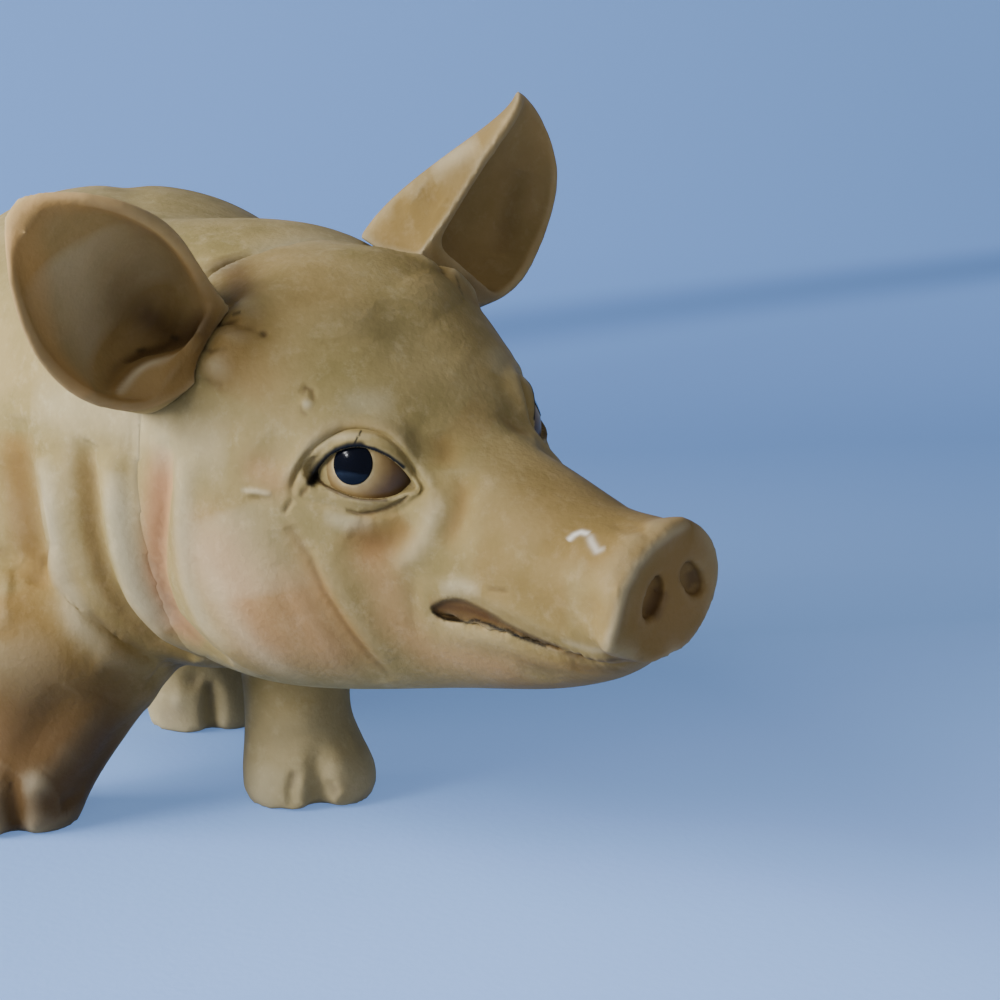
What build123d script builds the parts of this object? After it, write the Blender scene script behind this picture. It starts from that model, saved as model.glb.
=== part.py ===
from build123d import *
from math import copysign, cos, pi, radians, sin
import os

os.makedirs("parts", exist_ok=True)

# Where the head is and how it is turned, in the frame of the feet
# The frame starts on the ground midway between the fronts of the front hooves.
snout_forward = 49.4
snout_left = 42.7
snout_height = 35.6
head_turn = 27.7
head_nod = 5.4
head_tilt = 11.1

# Head
head_length = 55.0
head_half_width = 23.0
head_rise = 27.0
head_drop = 23.0
snout_half_width = 7.7
snout_half_height = 6.9
snout_rim = 2.6
mouth_length_share = 0.42545
mouth_front_drop = 7.3
mouth_corner_drop = 4.6
mouth_gap = 0.9
mouth_corner_core = 8.6
mouth_front_core = 5.0
mouth_front_depth = 4.6
nostril_spread = 2.8
nostril_shift = 0.9
nostril_drop = 0.2
nostril_width = 2.3
nostril_length = 4.3
nostril_depth = 2.4
nostril_lean = 30.0

# Eyes
eye_radius = 6.4
# Places back from the snout, out from the middle and up, as shares of the head's length, half width and rise
eye_back_share = 0.55455
eye_out_share = 0.54783
eye_up_share = 0.37778
eye_opening_length = 11.6
eye_opening_height = 5.0
eye_opening_drop = 0.9
eye_opening_shift = 0.6
eye_slant = -9.0
eye_gap = 0.15
eye_peg_radius = 1.5
eye_peg_length = 3.5
pupil_radius = 2.1
pupil_thickness = 1.1
pupil_rise = 0.1
pupil_gap = 0.05
lid_rise = 0.7

# Ears
ear_length = 23.3
ear_rim = 1.4
ear_back_share = 0.84182
ear_out_share = 0.66087
ear_up_share = 0.76296
ear_gap = 0.15
ear_front_cut = 3.0
ear_plug_radius = 2.2
ear_plug_reach = 3.0
ear_plug_root = 6.4
ear_seat_gap = 0.1
ear_pin_radius = 0.8
ear_pin_length = 8.0
pin_gap = 0.05

# Neck seam
neck_pin_radius = 1.5
neck_pin_length = 14.0
neck_pin_spread = 15.0
spigot_radius = 9.0
spigot_length = 5.0
spigot_gap = 0.15

# Body
body_length = 62.0
chest_place = 14.0
body_half_width = 28.8
back_height = 74.5
belly_height = 14.8
body_wall = 5.0

# Legs
leg_top = 34.0
hoof_width = 16.4
hoof_depth = 15.6
front_leg_back = 7.2
front_leg_out_share = 0.61111
hind_left_back_share = 0.70968
hind_left_out_share = 0.3125
hind_right_back_share = 0.96774
hind_right_out_share = 0.50347
toe_notch_width = 2.2
toe_notch_depth = 4.6
toe_notch_height = 7.5

# Tail
tail_root_radius = 2.3
tail_tip_radius = 1.0
tail_coil = 4.0
tail_height_share = 0.57286
tail_seat_radius = 3.6
tail_seat_depth = 2.0
tail_pin_radius = 0.8
tail_pin_length = 6.0
tail_gap = 0.1

# Belly plug
plug_radius = 6.5
plug_thickness = 2.4
plug_back_share = 0.41129
plug_sink = 0.5
plug_ledge = 1.3
plug_gap = 0.1

# Each row of the head: place behind the snout, half width, rise, drop, height of the widest place, fullness
head_rows_share = [
    (0.030, 0.300, 0.222, 0.285, 0.00, 2.1),
    (0.065, 0.310, 0.216, 0.410, 0.00, 2.1),
    (0.130, 0.322, 0.216, 0.490, 0.00, 2.1),
    (0.235, 0.350, 0.254, 0.600, -0.03, 2.1),
    (0.345, 0.400, 0.312, 0.680, -0.07, 2.2),
    (0.455, 0.490, 0.418, 0.740, -0.11, 2.3),
    (0.560, 0.655, 0.620, 0.790, -0.13, 2.4),
    (0.690, 0.835, 0.835, 0.850, -0.13, 2.5),
    (0.840, 0.960, 0.975, 0.920, -0.09, 2.5),
    (1.000, 1.000, 1.000, 1.000, 0.00, 2.3),
]

# Each row of the ear: height along it, the two rims across and back, the depth of the cup, the wall
ear_rows_share = [
    (-0.094, 0.017, 0.309, 0.103, 0.060, 0.400, 0.380),
    (0.000, -0.060, 0.213, 0.190, -0.073, 0.560, 0.525),
    (0.143, -0.181, 0.029, 0.362, -0.284, 0.780, 0.629),
    (0.286, -0.302, -0.139, 0.407, -0.415, 0.860, 0.473),
    (0.429, -0.407, -0.285, 0.391, -0.498, 0.790, 0.219),
    (0.572, -0.436, -0.400, 0.316, -0.583, 0.570, 0.128),
    (0.715, -0.410, -0.463, 0.191, -0.638, 0.310, 0.092),
    (0.858, -0.339, -0.477, 0.041, -0.630, 0.146, 0.073),
    (1.000, -0.200, -0.470, -0.112, -0.526, 0.052, 0.056),
]

# Where the plug stands in the ear's own plane
ear_plug_place_share = (0.206, 0.215)

# Each row of the torso: place behind the chest, half width, top, bottom, height of the widest place,
# fullness, and how far the middle stands to the left
torso_rows_share = [
    (1.020, 0.180, 0.680, 0.440, 0.56, 2.0, 0.00),
    (0.985, 0.430, 0.800, 0.290, 0.54, 2.1, 0.00),
    (0.900, 0.680, 0.900, 0.140, 0.52, 2.2, 0.00),
    (0.730, 0.880, 0.970, 0.040, 0.50, 2.3, 0.00),
    (0.480, 0.990, 1.000, 0.000, 0.48, 2.3, 0.00),
    (0.220, 0.980, 0.965, 0.000, 0.48, 2.3, 0.03),
    (0.000, 0.920, 0.925, 0.020, 0.48, 2.3, 0.14),
]

# Each row of the neck: place from the chest to the head, and how far it swells sideways and upward
neck_rows_share = [
    (0.40, 1.05, 1.03),
    (0.72, 1.06, 1.03),
]

# Each row of a leg: height, width, depth, how far back it stands, and how far inward
front_leg_rows_share = [
    (0.000, 0.940, 0.940, 0.00, 0.00),
    (0.060, 1.000, 1.000, 0.00, 0.00),
    (0.160, 0.950, 0.950, 0.02, 0.02),
    (0.260, 0.830, 0.850, 0.06, 0.06),
    (0.400, 0.800, 0.840, 0.08, 0.08),
    (0.600, 0.900, 0.880, 0.24, 0.10),
    (0.800, 0.940, 0.860, 0.42, 0.12),
    (1.000, 0.700, 0.600, 0.60, 0.08),
]

# The front right leg is fuller, and leans inward as it rises
full_leg_rows_share = [
    (0.000, 0.940, 0.940, 0.00, 0.00),
    (0.060, 1.000, 1.000, 0.00, 0.01),
    (0.170, 1.060, 0.980, 0.02, 0.12),
    (0.280, 1.120, 0.980, 0.04, 0.26),
    (0.400, 1.300, 1.060, 0.06, 0.38),
    (0.560, 1.600, 1.200, 0.04, 0.44),
    (0.740, 1.640, 1.200, 0.10, 0.42),
    (0.880, 1.400, 0.960, 0.28, 0.44),
    (1.000, 1.000, 0.600, 0.50, 0.50),
]

# The hind legs end in hams, which close inside the torso
hind_leg_rows_share = [
    (0.000, 0.940, 0.940, 0.00, 0.00),
    (0.060, 1.000, 1.000, 0.00, 0.00),
    (0.160, 0.950, 0.950, -0.02, 0.02),
    (0.260, 0.830, 0.850, -0.06, 0.04),
    (0.400, 0.860, 0.940, -0.06, 0.06),
    (0.600, 1.060, 1.180, -0.14, 0.14),
    (0.800, 1.100, 1.160, -0.30, 0.26),
    (1.000, 0.800, 0.800, -0.50, 0.40),
]

# The curl of the tail: places back, to the right and up
tail_points_share = [
    (0.00, 0.00, 0.00),
    (0.55, 0.05, 0.10),
    (1.05, 0.45, 0.75),
    (1.25, 0.50, 1.60),
    (1.20, -0.20, 2.15),
    (1.20, -0.95, 1.75),
    (1.35, -1.05, 0.80),
    (1.65, -0.35, 0.25),
    (1.95, 0.35, 0.55),
]

ring_count = 16
head_section_count = 10
ear_section_count = 10
body_depth = back_height - belly_height
mouth_length = mouth_length_share * head_length
eye_back = eye_back_share * head_length
eye_out = eye_out_share * head_half_width
eye_up = eye_up_share * head_rise
ear_back = ear_back_share * head_length
ear_out = ear_out_share * head_half_width
ear_up = ear_up_share * head_rise
front_leg_spread = front_leg_out_share * body_half_width
hind_left_back = hind_left_back_share * body_length
hind_left_out = hind_left_out_share * body_half_width
hind_right_back = hind_right_back_share * body_length
hind_right_out = hind_right_out_share * body_half_width
tail_height = belly_height + tail_height_share * body_depth
plug_back = plug_back_share * body_length


def turned(way, nod, turn, tilt):
    """The direction of the head's own frame, nodded, tilted and turned into the frame of the feet."""
    forward, left, up = way
    rolled_left = left * cos(radians(tilt)) - up * sin(radians(tilt))
    rolled_up = left * sin(radians(tilt)) + up * cos(radians(tilt))
    nodded_forward = forward * cos(radians(nod)) + rolled_up * sin(radians(nod))
    nodded_up = rolled_up * cos(radians(nod)) - forward * sin(radians(nod))
    x = nodded_forward * cos(radians(turn)) - rolled_left * sin(radians(turn))
    y = nodded_forward * sin(radians(turn)) + rolled_left * cos(radians(turn))
    return Vector(x, y, nodded_up)


def head_way(forward, left, up):
    return turned((forward, left, up), head_nod, head_turn, head_tilt)


snout_point = Vector(snout_forward, snout_left, snout_height)


def head_point(forward, left, up):
    return snout_point + head_way(forward, left, up)


def rounded(value, fullness):
    return copysign(abs(value) ** (2 / fullness), value)


def ring(half_width, rise, drop, middle, fullness):
    """Points round an egg-shaped section, with its widest place at the given height."""
    points = []
    for step in range(ring_count):
        turn = 2 * pi * step / ring_count
        across = half_width * rounded(cos(turn), fullness)
        lift = rounded(sin(turn), fullness)
        reach = rise - middle if lift > 0 else drop + middle
        points.append((across, middle + reach * lift))
    return points


def smooth_rows(rows, count):
    """Rows at even places, on smooth curves through the given rows."""
    last = len(rows) - 1
    slopes = []
    for index in range(len(rows)):
        before = rows[max(index - 1, 0)]
        after = rows[min(index + 1, last)]
        slopes.append([(b - a) / (after[0] - before[0]) for a, b in zip(before, after)])
    even = []
    for step in range(count):
        place = rows[0][0] + (rows[last][0] - rows[0][0]) * step / (count - 1)
        index = 0
        while index < last - 1 and place > rows[index + 1][0]:
            index += 1
        span = rows[index + 1][0] - rows[index][0]
        t = (place - rows[index][0]) / span
        row = []
        for a, b, rise_a, rise_b in zip(rows[index], rows[index + 1], slopes[index], slopes[index + 1]):
            value = a * (1 + 2 * t) * (1 - t) ** 2 + b * t * t * (3 - 2 * t)
            row.append(value + rise_a * span * t * (1 - t) ** 2 + rise_b * span * t * t * (t - 1))
        even.append(row)
    return even


def blend(first, second, share):
    return first * (1 - share) + second * share


head_plane = Plane(origin=snout_point, x_dir=head_way(0, 1, 0), z_dir=head_way(1, 0, 0))
neck_plane = head_plane.offset(-head_length)
torso_plane = Plane(origin=(-chest_place, 0, 0), x_dir=(0, 1, 0), z_dir=(1, 0, 0))


def head_ring(row, extra):
    place, width, rise, drop, middle, fullness = row
    half_width = width * head_half_width + extra
    return ring(half_width, rise * head_rise + extra, drop * head_drop + extra, middle * head_drop, fullness)


def torso_ring(row, inset):
    place, width, top, bottom, middle, fullness, lean = row
    half_width = width * body_half_width - inset
    rise = belly_height + top * body_depth - inset
    drop = -(belly_height + bottom * body_depth + inset)
    points = ring(half_width, rise, drop, belly_height + middle * body_depth, fullness)
    return [(across + lean * body_half_width, height) for across, height in points]


def eye_way(side):
    return head_way(0.42, side * 0.82, 0.38).normalized()


def eye_centre(side):
    return head_point(-eye_back, side * eye_out, eye_up) - eye_way(side) * eye_radius


def eye_plane(side):
    along = head_way(cos(radians(eye_slant)), 0, -sin(radians(eye_slant)))
    gaze = eye_way(side)
    across = (along - gaze * along.dot(gaze)).normalized()
    return Plane(origin=eye_centre(side), x_dir=across, z_dir=gaze)


def eye_peg_plane(side):
    """The peg behind an eye runs straight back into the skull."""
    return Plane(origin=eye_centre(side), x_dir=head_way(0, 1, 0), z_dir=head_way(-1, 0, 0))


def ear_plane(side):
    """Sections of the ear stand on planes parallel to this one, which lies at its root."""
    along = head_way(-0.602, side * 0.501, 0.622).normalized()
    across = head_way(-0.452, side * 0.428, -0.783)
    across = (across - along * across.dot(along)).normalized()
    return Plane(origin=head_point(-ear_back, side * ear_out, ear_up), x_dir=across, z_dir=along)


def ear_plug_place(side):
    across, back = ear_plug_place_share
    return (across * ear_length, back * ear_length * side)


def ear_arc(row, side, hollow):
    """Points round the back of the ear, or of its hollow, and the two ends that close it in front."""
    near, far = Vector(row[1], row[2]) * ear_length, Vector(row[3], row[4]) * ear_length
    chord = (far - near).normalized()
    half = (far - near).length / 2
    depth = row[5] * ear_length
    front = 0
    if hollow:
        half -= min(ear_rim, half * 0.3)
        depth -= row[6] * ear_length
        front = ear_front_cut
    shape = [(-half, -front)]
    for step in range(-3, 4):
        turn = pi / 2 * step / 3
        shape.append((half * sin(turn), depth * cos(turn)))
    shape.append((half, -front))
    middle = (near + far) * 0.5
    points = []
    for along, out in shape:
        across = middle.X + chord.X * along - chord.Y * out
        back = middle.Y + chord.Y * along + chord.X * out
        points.append((across, back * side))
    return points


# Head casting: the skull and muzzle
with BuildPart() as head_skin:
    for row in smooth_rows(head_rows_share, head_section_count):
        with BuildSketch(head_plane.offset(-row[0] * head_length)):
            with BuildLine():
                Spline(*head_ring(row, 0), periodic=True)
            make_face()
    loft()

# A slightly larger copy of the same form, which trims the ears to the head
with BuildPart() as head_room:
    for row in smooth_rows(head_rows_share, head_section_count):
        with BuildSketch(head_plane.offset(-row[0] * head_length)):
            with BuildLine():
                Spline(*head_ring(row, ear_gap), periodic=True)
            make_face()
    loft()

# Round snout pad
with BuildPart() as pad:
    with BuildSketch(head_plane.offset(-snout_rim)):
        Ellipse(snout_half_width, snout_half_height)
    extrude(amount=snout_rim)
    fillet(pad.edges(), radius=snout_rim / 2.7)

# The parting line between the lips: a thin slab round a solid middle
corner_point = head_point(-mouth_length, 0, -mouth_corner_drop)
front_point = head_point(snout_rim, 0, -mouth_front_drop)
mouth_reach = (front_point - corner_point).length
mouth_way = (front_point - corner_point).normalized()
mouth_plane = Plane(origin=corner_point, x_dir=mouth_way, z_dir=mouth_way.cross(head_way(0, 1, 0)))
core_front = mouth_reach - snout_rim - mouth_front_depth

with BuildPart() as mouth:
    with BuildSketch(mouth_plane.offset(-mouth_gap / 2)):
        with BuildLine():
            Polyline(
                (0, head_half_width),
                (mouth_reach, head_half_width),
                (mouth_reach, -head_half_width),
                (0, -head_half_width),
                (0, -mouth_corner_core),
                (core_front, -mouth_front_core),
                (core_front, mouth_front_core),
                (0, mouth_corner_core),
                close=True,
            )
        make_face()
    extrude(amount=mouth_gap)

with BuildPart() as head:
    add(head_skin.part)
    add(pad.part)
    add(mouth.part, mode=Mode.SUBTRACT)
    for side in (1, -1):
        with Locations(Location(eye_centre(side))):
            Sphere(eye_radius + lid_rise)
    for side in (1, -1):
        with Locations(Location(eye_centre(side))):
            Sphere(eye_radius + eye_gap, mode=Mode.SUBTRACT)
        with BuildSketch(eye_plane(side)):
            with Locations((eye_opening_shift, side * eye_opening_drop)):
                Ellipse(eye_opening_length / 2, eye_opening_height / 2)
        extrude(amount=eye_radius + lid_rise * 2, mode=Mode.SUBTRACT)
        with BuildSketch(eye_peg_plane(side)):
            Circle(eye_peg_radius + eye_gap)
        extrude(amount=eye_radius + eye_peg_length + eye_gap, mode=Mode.SUBTRACT)
        with BuildSketch(head_plane):
            place = (nostril_shift + side * nostril_spread, -nostril_drop, 0)
            with Locations(Location(place, (0, 0, side * nostril_lean))):
                Ellipse(nostril_width / 2, nostril_length / 2)
        extrude(amount=-nostril_depth, mode=Mode.SUBTRACT)
        with BuildSketch(ear_plane(side).offset(-ear_plug_reach)):
            with Locations(ear_plug_place(side)):
                Circle(ear_plug_radius + ear_seat_gap)
        extrude(amount=ear_length, mode=Mode.SUBTRACT)
        with BuildSketch(ear_plane(side).offset(-ear_plug_reach)):
            with Locations(ear_plug_place(side)):
                Circle(ear_pin_radius + pin_gap)
        extrude(amount=-(ear_pin_length / 2 + pin_gap), mode=Mode.SUBTRACT)
    with BuildSketch(neck_plane):
        Circle(spigot_radius + spigot_gap)
    extrude(amount=spigot_length + spigot_gap, mode=Mode.SUBTRACT)
    with BuildSketch(neck_plane):
        with Locations((0, neck_pin_spread), (0, -neck_pin_spread)):
            Circle(neck_pin_radius + pin_gap)
    extrude(amount=neck_pin_length / 2 + pin_gap, mode=Mode.SUBTRACT)

# Eyes
eyes = []
pupils = []
for side in (1, -1):
    with BuildPart() as eye:
        with Locations(Location(eye_centre(side))):
            Sphere(eye_radius)
        with BuildSketch(eye_peg_plane(side)):
            Circle(eye_peg_radius)
        extrude(amount=eye_radius + eye_peg_length)
        with BuildSketch(eye_plane(side).offset(eye_radius - pupil_thickness)):
            Circle(pupil_radius + pupil_gap)
        extrude(amount=pupil_thickness * 2, mode=Mode.SUBTRACT)
    eyes.append(eye)
    with BuildPart() as pupil:
        with BuildSketch(eye_plane(side).offset(eye_radius - pupil_thickness)):
            Circle(pupil_radius)
        extrude(amount=pupil_thickness * 2)
        with Locations(Location(eye_centre(side))):
            Sphere(eye_radius + pupil_rise, mode=Mode.INTERSECT)
    pupils.append(pupil)

# Body casting: torso and neck in one skin, from the rump to just past the neck seam, where it is cut
neck_row = head_rows_share[-1]
lap_row = smooth_rows(head_rows_share, head_section_count)[-2]
chest_row = torso_rows_share[-1]


def neck_section(share, swell, lift, inset):
    """A section between the chest and the neck seam, with the plane that it stands on."""
    chest_middle = belly_height + body_depth / 2
    origin = blend(Vector(-chest_place, 0, chest_middle), neck_plane.origin, share)
    facing = blend(torso_plane.z_dir, neck_plane.z_dir, share).normalized()
    across = blend(torso_plane.x_dir, neck_plane.x_dir, share)
    across = (across - facing * across.dot(facing)).normalized()
    first = torso_ring(chest_row, inset)
    second = head_ring(neck_row, -inset)
    points = []
    for (x1, y1), (x2, y2) in zip(first, second):
        height = blend(y1 - chest_middle, y2, share)
        points.append((blend(x1, x2, share) * swell, height * lift if height > 0 else height))
    return Plane(origin=origin, x_dir=across, z_dir=facing), points


with BuildPart() as body_skin:
    for row in torso_rows_share:
        with BuildSketch(torso_plane.offset(-row[0] * body_length)):
            with BuildLine():
                Spline(*torso_ring(row, 0), periodic=True)
            make_face()
    for share, swell, lift in neck_rows_share:
        plane, points = neck_section(share, swell, lift, 0)
        with BuildSketch(plane):
            with BuildLine():
                Spline(*points, periodic=True)
            make_face()
    for row in (neck_row, lap_row):
        with BuildSketch(head_plane.offset(-row[0] * head_length)):
            with BuildLine():
                Spline(*head_ring(row, 0), periodic=True)
            make_face()
    loft()
    split(bisect_by=neck_plane, keep=Keep.BOTTOM)

# A slightly larger copy of the neck, which trims the ears to it
with BuildPart() as neck_room:
    with BuildSketch(torso_plane):
        with BuildLine():
            Spline(*torso_ring(chest_row, -ear_gap), periodic=True)
        make_face()
    for share, swell, lift in neck_rows_share:
        plane, points = neck_section(share, swell, lift, -ear_gap)
        with BuildSketch(plane):
            with BuildLine():
                Spline(*points, periodic=True)
            make_face()
    with BuildSketch(neck_plane):
        with BuildLine():
            Spline(*head_ring(neck_row, ear_gap), periodic=True)
        make_face()
    loft()

# The hollow inside the torso
with BuildPart() as body_room:
    for row in torso_rows_share[2:]:
        with BuildSketch(torso_plane.offset(-row[0] * body_length)):
            with BuildLine():
                Spline(*torso_ring(row, body_wall), periodic=True)
            make_face()
    loft()

leg_places = [
    (-front_leg_back, front_leg_spread, front_leg_rows_share),
    (-front_leg_back, -front_leg_spread, full_leg_rows_share),
    (-hind_left_back, hind_left_out, hind_leg_rows_share),
    (-hind_right_back, -hind_right_out, hind_leg_rows_share),
]

rump_back = chest_place + torso_rows_share[0][0] * body_length
tail_plane = Plane(origin=(-rump_back, 0, tail_height), x_dir=(0, -1, 0), z_dir=(-1, 0, 0))
plug_bottom = belly_height + plug_sink
plug_plane = Plane(origin=(-plug_back, 0, plug_bottom), x_dir=(1, 0, 0), z_dir=(0, 0, 1))

with BuildPart() as body:
    add(body_skin.part)
    for along, across, rows in leg_places:
        for height, width, depth, back, inward in rows:
            stand = across - copysign(inward * hoof_width, across)
            with BuildSketch(Plane.XY.offset(height * leg_top)):
                with Locations((along - back * hoof_depth, stand)):
                    Ellipse(depth * hoof_depth / 2, width * hoof_width / 2)
        loft()
        with Locations(Location((along + hoof_depth / 2, across, toe_notch_height / 2))):
            Box(toe_notch_depth, toe_notch_width, toe_notch_height, mode=Mode.SUBTRACT)
    add(body_room.part, mode=Mode.SUBTRACT)
    with BuildSketch(neck_plane):
        Circle(spigot_radius)
    extrude(amount=spigot_length)
    with BuildSketch(neck_plane):
        with Locations((0, neck_pin_spread), (0, -neck_pin_spread)):
            Circle(neck_pin_radius + pin_gap)
    extrude(amount=-(neck_pin_length / 2 + pin_gap), mode=Mode.SUBTRACT)
    for side in (1, -1):
        with BuildSketch(ear_plane(side).offset(-ear_plug_reach)):
            with Locations(ear_plug_place(side)):
                Circle(ear_plug_radius + ear_seat_gap)
        extrude(amount=ear_length, mode=Mode.SUBTRACT)
    with BuildSketch(tail_plane.offset(-tail_seat_depth - tail_gap)):
        Circle(tail_seat_radius + tail_gap)
    extrude(amount=body_wall, mode=Mode.SUBTRACT)
    with BuildSketch(tail_plane.offset(-tail_seat_depth)):
        Circle(tail_pin_radius + pin_gap)
    extrude(amount=-(tail_pin_length / 2 + pin_gap), mode=Mode.SUBTRACT)
    with BuildSketch(plug_plane.offset(-body_wall)):
        Circle(plug_radius + plug_gap)
    extrude(amount=body_wall + plug_thickness, mode=Mode.SUBTRACT)
    with BuildSketch(plug_plane):
        Circle(plug_radius - plug_ledge)
    extrude(amount=body_wall * 2, mode=Mode.SUBTRACT)

# Belly plug
with BuildPart() as belly_plug:
    with BuildSketch(plug_plane):
        Circle(plug_radius)
    extrude(amount=plug_thickness)

# Tail: a round foot in its seat, and the curl
with BuildPart() as tail:
    with BuildSketch(tail_plane.offset(-tail_seat_depth)):
        Circle(tail_seat_radius)
    extrude(amount=tail_seat_depth)
    with BuildLine(Plane.XY) as curl:
        places = []
        for back, right, up in tail_points_share:
            places.append((-rump_back - back * tail_coil, -right * tail_coil, tail_height + up * tail_coil))
        Spline(*places, tangents=[(-1, 0, 0), (0, -1, 1)])
    with BuildSketch(Plane(origin=curl.line @ 0, z_dir=curl.line % 0)):
        Circle(tail_root_radius)
    with BuildSketch(Plane(origin=curl.line @ 1, z_dir=curl.line % 1)):
        Circle(tail_tip_radius)
    sweep(path=curl.line, multisection=True)
    with Locations(Location(curl.line @ 1)):
        Sphere(tail_tip_radius)
    with BuildSketch(tail_plane.offset(-tail_seat_depth)):
        Circle(tail_pin_radius + pin_gap)
    extrude(amount=tail_pin_length / 2 + pin_gap, mode=Mode.SUBTRACT)

with BuildPart() as tail_pin:
    with BuildSketch(tail_plane.offset(-tail_seat_depth - tail_pin_length / 2)):
        Circle(tail_pin_radius)
    extrude(amount=tail_pin_length)

# Ears
ears = []
ear_pins = []
ear_rows = smooth_rows(ear_rows_share, ear_section_count)
for side in (1, -1):
    with BuildPart() as ear_cup:
        for row in ear_rows[2:-1]:
            shape = ear_arc(row, side, True)
            with BuildSketch(ear_plane(side).offset(row[0] * ear_length)):
                with BuildLine():
                    Spline(*shape[1:-1])
                    Polyline(shape[-2], shape[-1], shape[0], shape[1])
                make_face()
        loft()
    with BuildPart() as ear:
        for row in ear_rows:
            shape = ear_arc(row, side, False)
            with BuildSketch(ear_plane(side).offset(row[0] * ear_length)):
                with BuildLine():
                    Spline(*shape[1:-1])
                    Line(shape[-2], shape[1])
                make_face()
        loft()
        add(ear_cup.part, mode=Mode.SUBTRACT)
        add(head_room.part, mode=Mode.SUBTRACT)
        add(neck_room.part, mode=Mode.SUBTRACT)
        with BuildSketch(ear_plane(side).offset(-ear_plug_reach)):
            with Locations(ear_plug_place(side)):
                Circle(ear_plug_radius)
        extrude(amount=ear_plug_reach + ear_plug_root)
        with BuildSketch(ear_plane(side).offset(-ear_plug_reach)):
            with Locations(ear_plug_place(side)):
                Circle(ear_pin_radius + pin_gap)
        extrude(amount=ear_pin_length / 2 + pin_gap, mode=Mode.SUBTRACT)
    ears.append(ear)
    with BuildPart() as ear_pin:
        with BuildSketch(ear_plane(side).offset(-ear_plug_reach - ear_pin_length / 2)):
            with Locations(ear_plug_place(side)):
                Circle(ear_pin_radius)
        extrude(amount=ear_pin_length)
    ear_pins.append(ear_pin)

# Neck pins
neck_pins = []
for height in (neck_pin_spread, -neck_pin_spread):
    with BuildPart() as neck_pin:
        with BuildSketch(neck_plane.offset(-neck_pin_length / 2)):
            with Locations((0, height)):
                Circle(neck_pin_radius)
        extrude(amount=neck_pin_length)
    neck_pins.append(neck_pin)

pieces = {
    "body_casting": body.part,
    "head_casting": head.part,
    "ear_left": ears[0].part,
    "ear_right": ears[1].part,
    "ear_pin_left": ear_pins[0].part,
    "ear_pin_right": ear_pins[1].part,
    "eye_left": eyes[0].part,
    "eye_right": eyes[1].part,
    "pupil_left": pupils[0].part,
    "pupil_right": pupils[1].part,
    "neck_pin_upper": neck_pins[0].part,
    "neck_pin_lower": neck_pins[1].part,
    "tail": tail.part,
    "tail_pin": tail_pin.part,
    "belly_plug": belly_plug.part,
}

# The frame of the part: its middle above the origin, its hooves on the ground
boxes = [piece.bounding_box() for piece in pieces.values()]
middle_forward = (min(box.min.X for box in boxes) + max(box.max.X for box in boxes)) / 2
middle_left = (min(box.min.Y for box in boxes) + max(box.max.Y for box in boxes)) / 2
shift = Location((-middle_forward, -middle_left, 0))

for name, piece in pieces.items():
    piece.label = name
    export_step(piece.moved(shift), f"parts/{name}.step")
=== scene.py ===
# %% [markdown]
# A hand-painted pig ornament, cast in resin and turned to look over its left shoulder.
# The solids give the size and the main forms. This file copies them into a finer skin,
# works folds, lips, lids and brush marks into that skin as a modeller does with clay,
# and paints it in thin coats: a beige ground, pink cheeks, a brown wash in the folds that is
# also painted shade, and pale coats that are painted highlights.

from math import cos, radians, sin
import bmesh
import bpy
import numpy as np
from mathutils import Matrix, Vector
from mathutils.bvhtree import BVHTree


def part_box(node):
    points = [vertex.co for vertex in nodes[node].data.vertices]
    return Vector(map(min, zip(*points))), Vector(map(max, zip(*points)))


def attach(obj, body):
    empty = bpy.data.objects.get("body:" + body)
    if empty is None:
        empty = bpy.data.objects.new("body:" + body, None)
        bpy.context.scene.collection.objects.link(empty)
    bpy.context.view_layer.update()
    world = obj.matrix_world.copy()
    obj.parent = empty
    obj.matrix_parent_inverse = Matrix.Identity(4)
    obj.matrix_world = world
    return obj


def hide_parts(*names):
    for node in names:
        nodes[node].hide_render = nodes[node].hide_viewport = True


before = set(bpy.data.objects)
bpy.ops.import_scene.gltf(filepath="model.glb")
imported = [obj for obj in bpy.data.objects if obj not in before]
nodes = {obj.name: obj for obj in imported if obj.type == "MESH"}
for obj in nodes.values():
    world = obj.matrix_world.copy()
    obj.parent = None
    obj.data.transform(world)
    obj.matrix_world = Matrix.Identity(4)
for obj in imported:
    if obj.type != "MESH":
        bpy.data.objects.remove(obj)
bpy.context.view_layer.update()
MM = 0.001
print("nodes", sorted(nodes))

# %% [markdown]
# Two places help with everything below. The feet frame starts on the ground midway between
# the front hooves. The head frame starts in the middle of the snout disc, and its axes point
# forward, to the pig's left and up as the head is turned, nodded and tilted. Work on the head
# is given in that frame, so that one side can be copied to the other.

# %% The feet frame and the head frame
plug_low, plug_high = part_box("belly_plug")
PLUG_BACK = 25.5
feet = np.array([(plug_low.x + plug_high.x) / 2 / MM + PLUG_BACK, (plug_low.y + plug_high.y) / 2 / MM, 0.0])

HEAD_TURN, HEAD_NOD, HEAD_TILT = radians(27.7), radians(5.4), radians(11.1)
SNOUT = np.array([49.4, 42.7, 35.6])


def head_turned(way):
    """A direction of the head's own frame, in the frame of the part."""
    forward, left, up = way
    rolled_left = left * cos(HEAD_TILT) - up * sin(HEAD_TILT)
    rolled_up = left * sin(HEAD_TILT) + up * cos(HEAD_TILT)
    nodded_forward = forward * cos(HEAD_NOD) + rolled_up * sin(HEAD_NOD)
    nodded_up = rolled_up * cos(HEAD_NOD) - forward * sin(HEAD_NOD)
    x = nodded_forward * cos(HEAD_TURN) - rolled_left * sin(HEAD_TURN)
    y = nodded_forward * sin(HEAD_TURN) + rolled_left * cos(HEAD_TURN)
    return np.array([x, y, nodded_up])


HEAD_AXES = np.array([head_turned(way) for way in ((1, 0, 0), (0, 1, 0), (0, 0, 1))])


def from_head(points):
    """Points of the head frame, in millimetres, in the frame of the part."""
    return feet + SNOUT + np.asarray(points, float) @ HEAD_AXES


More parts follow.
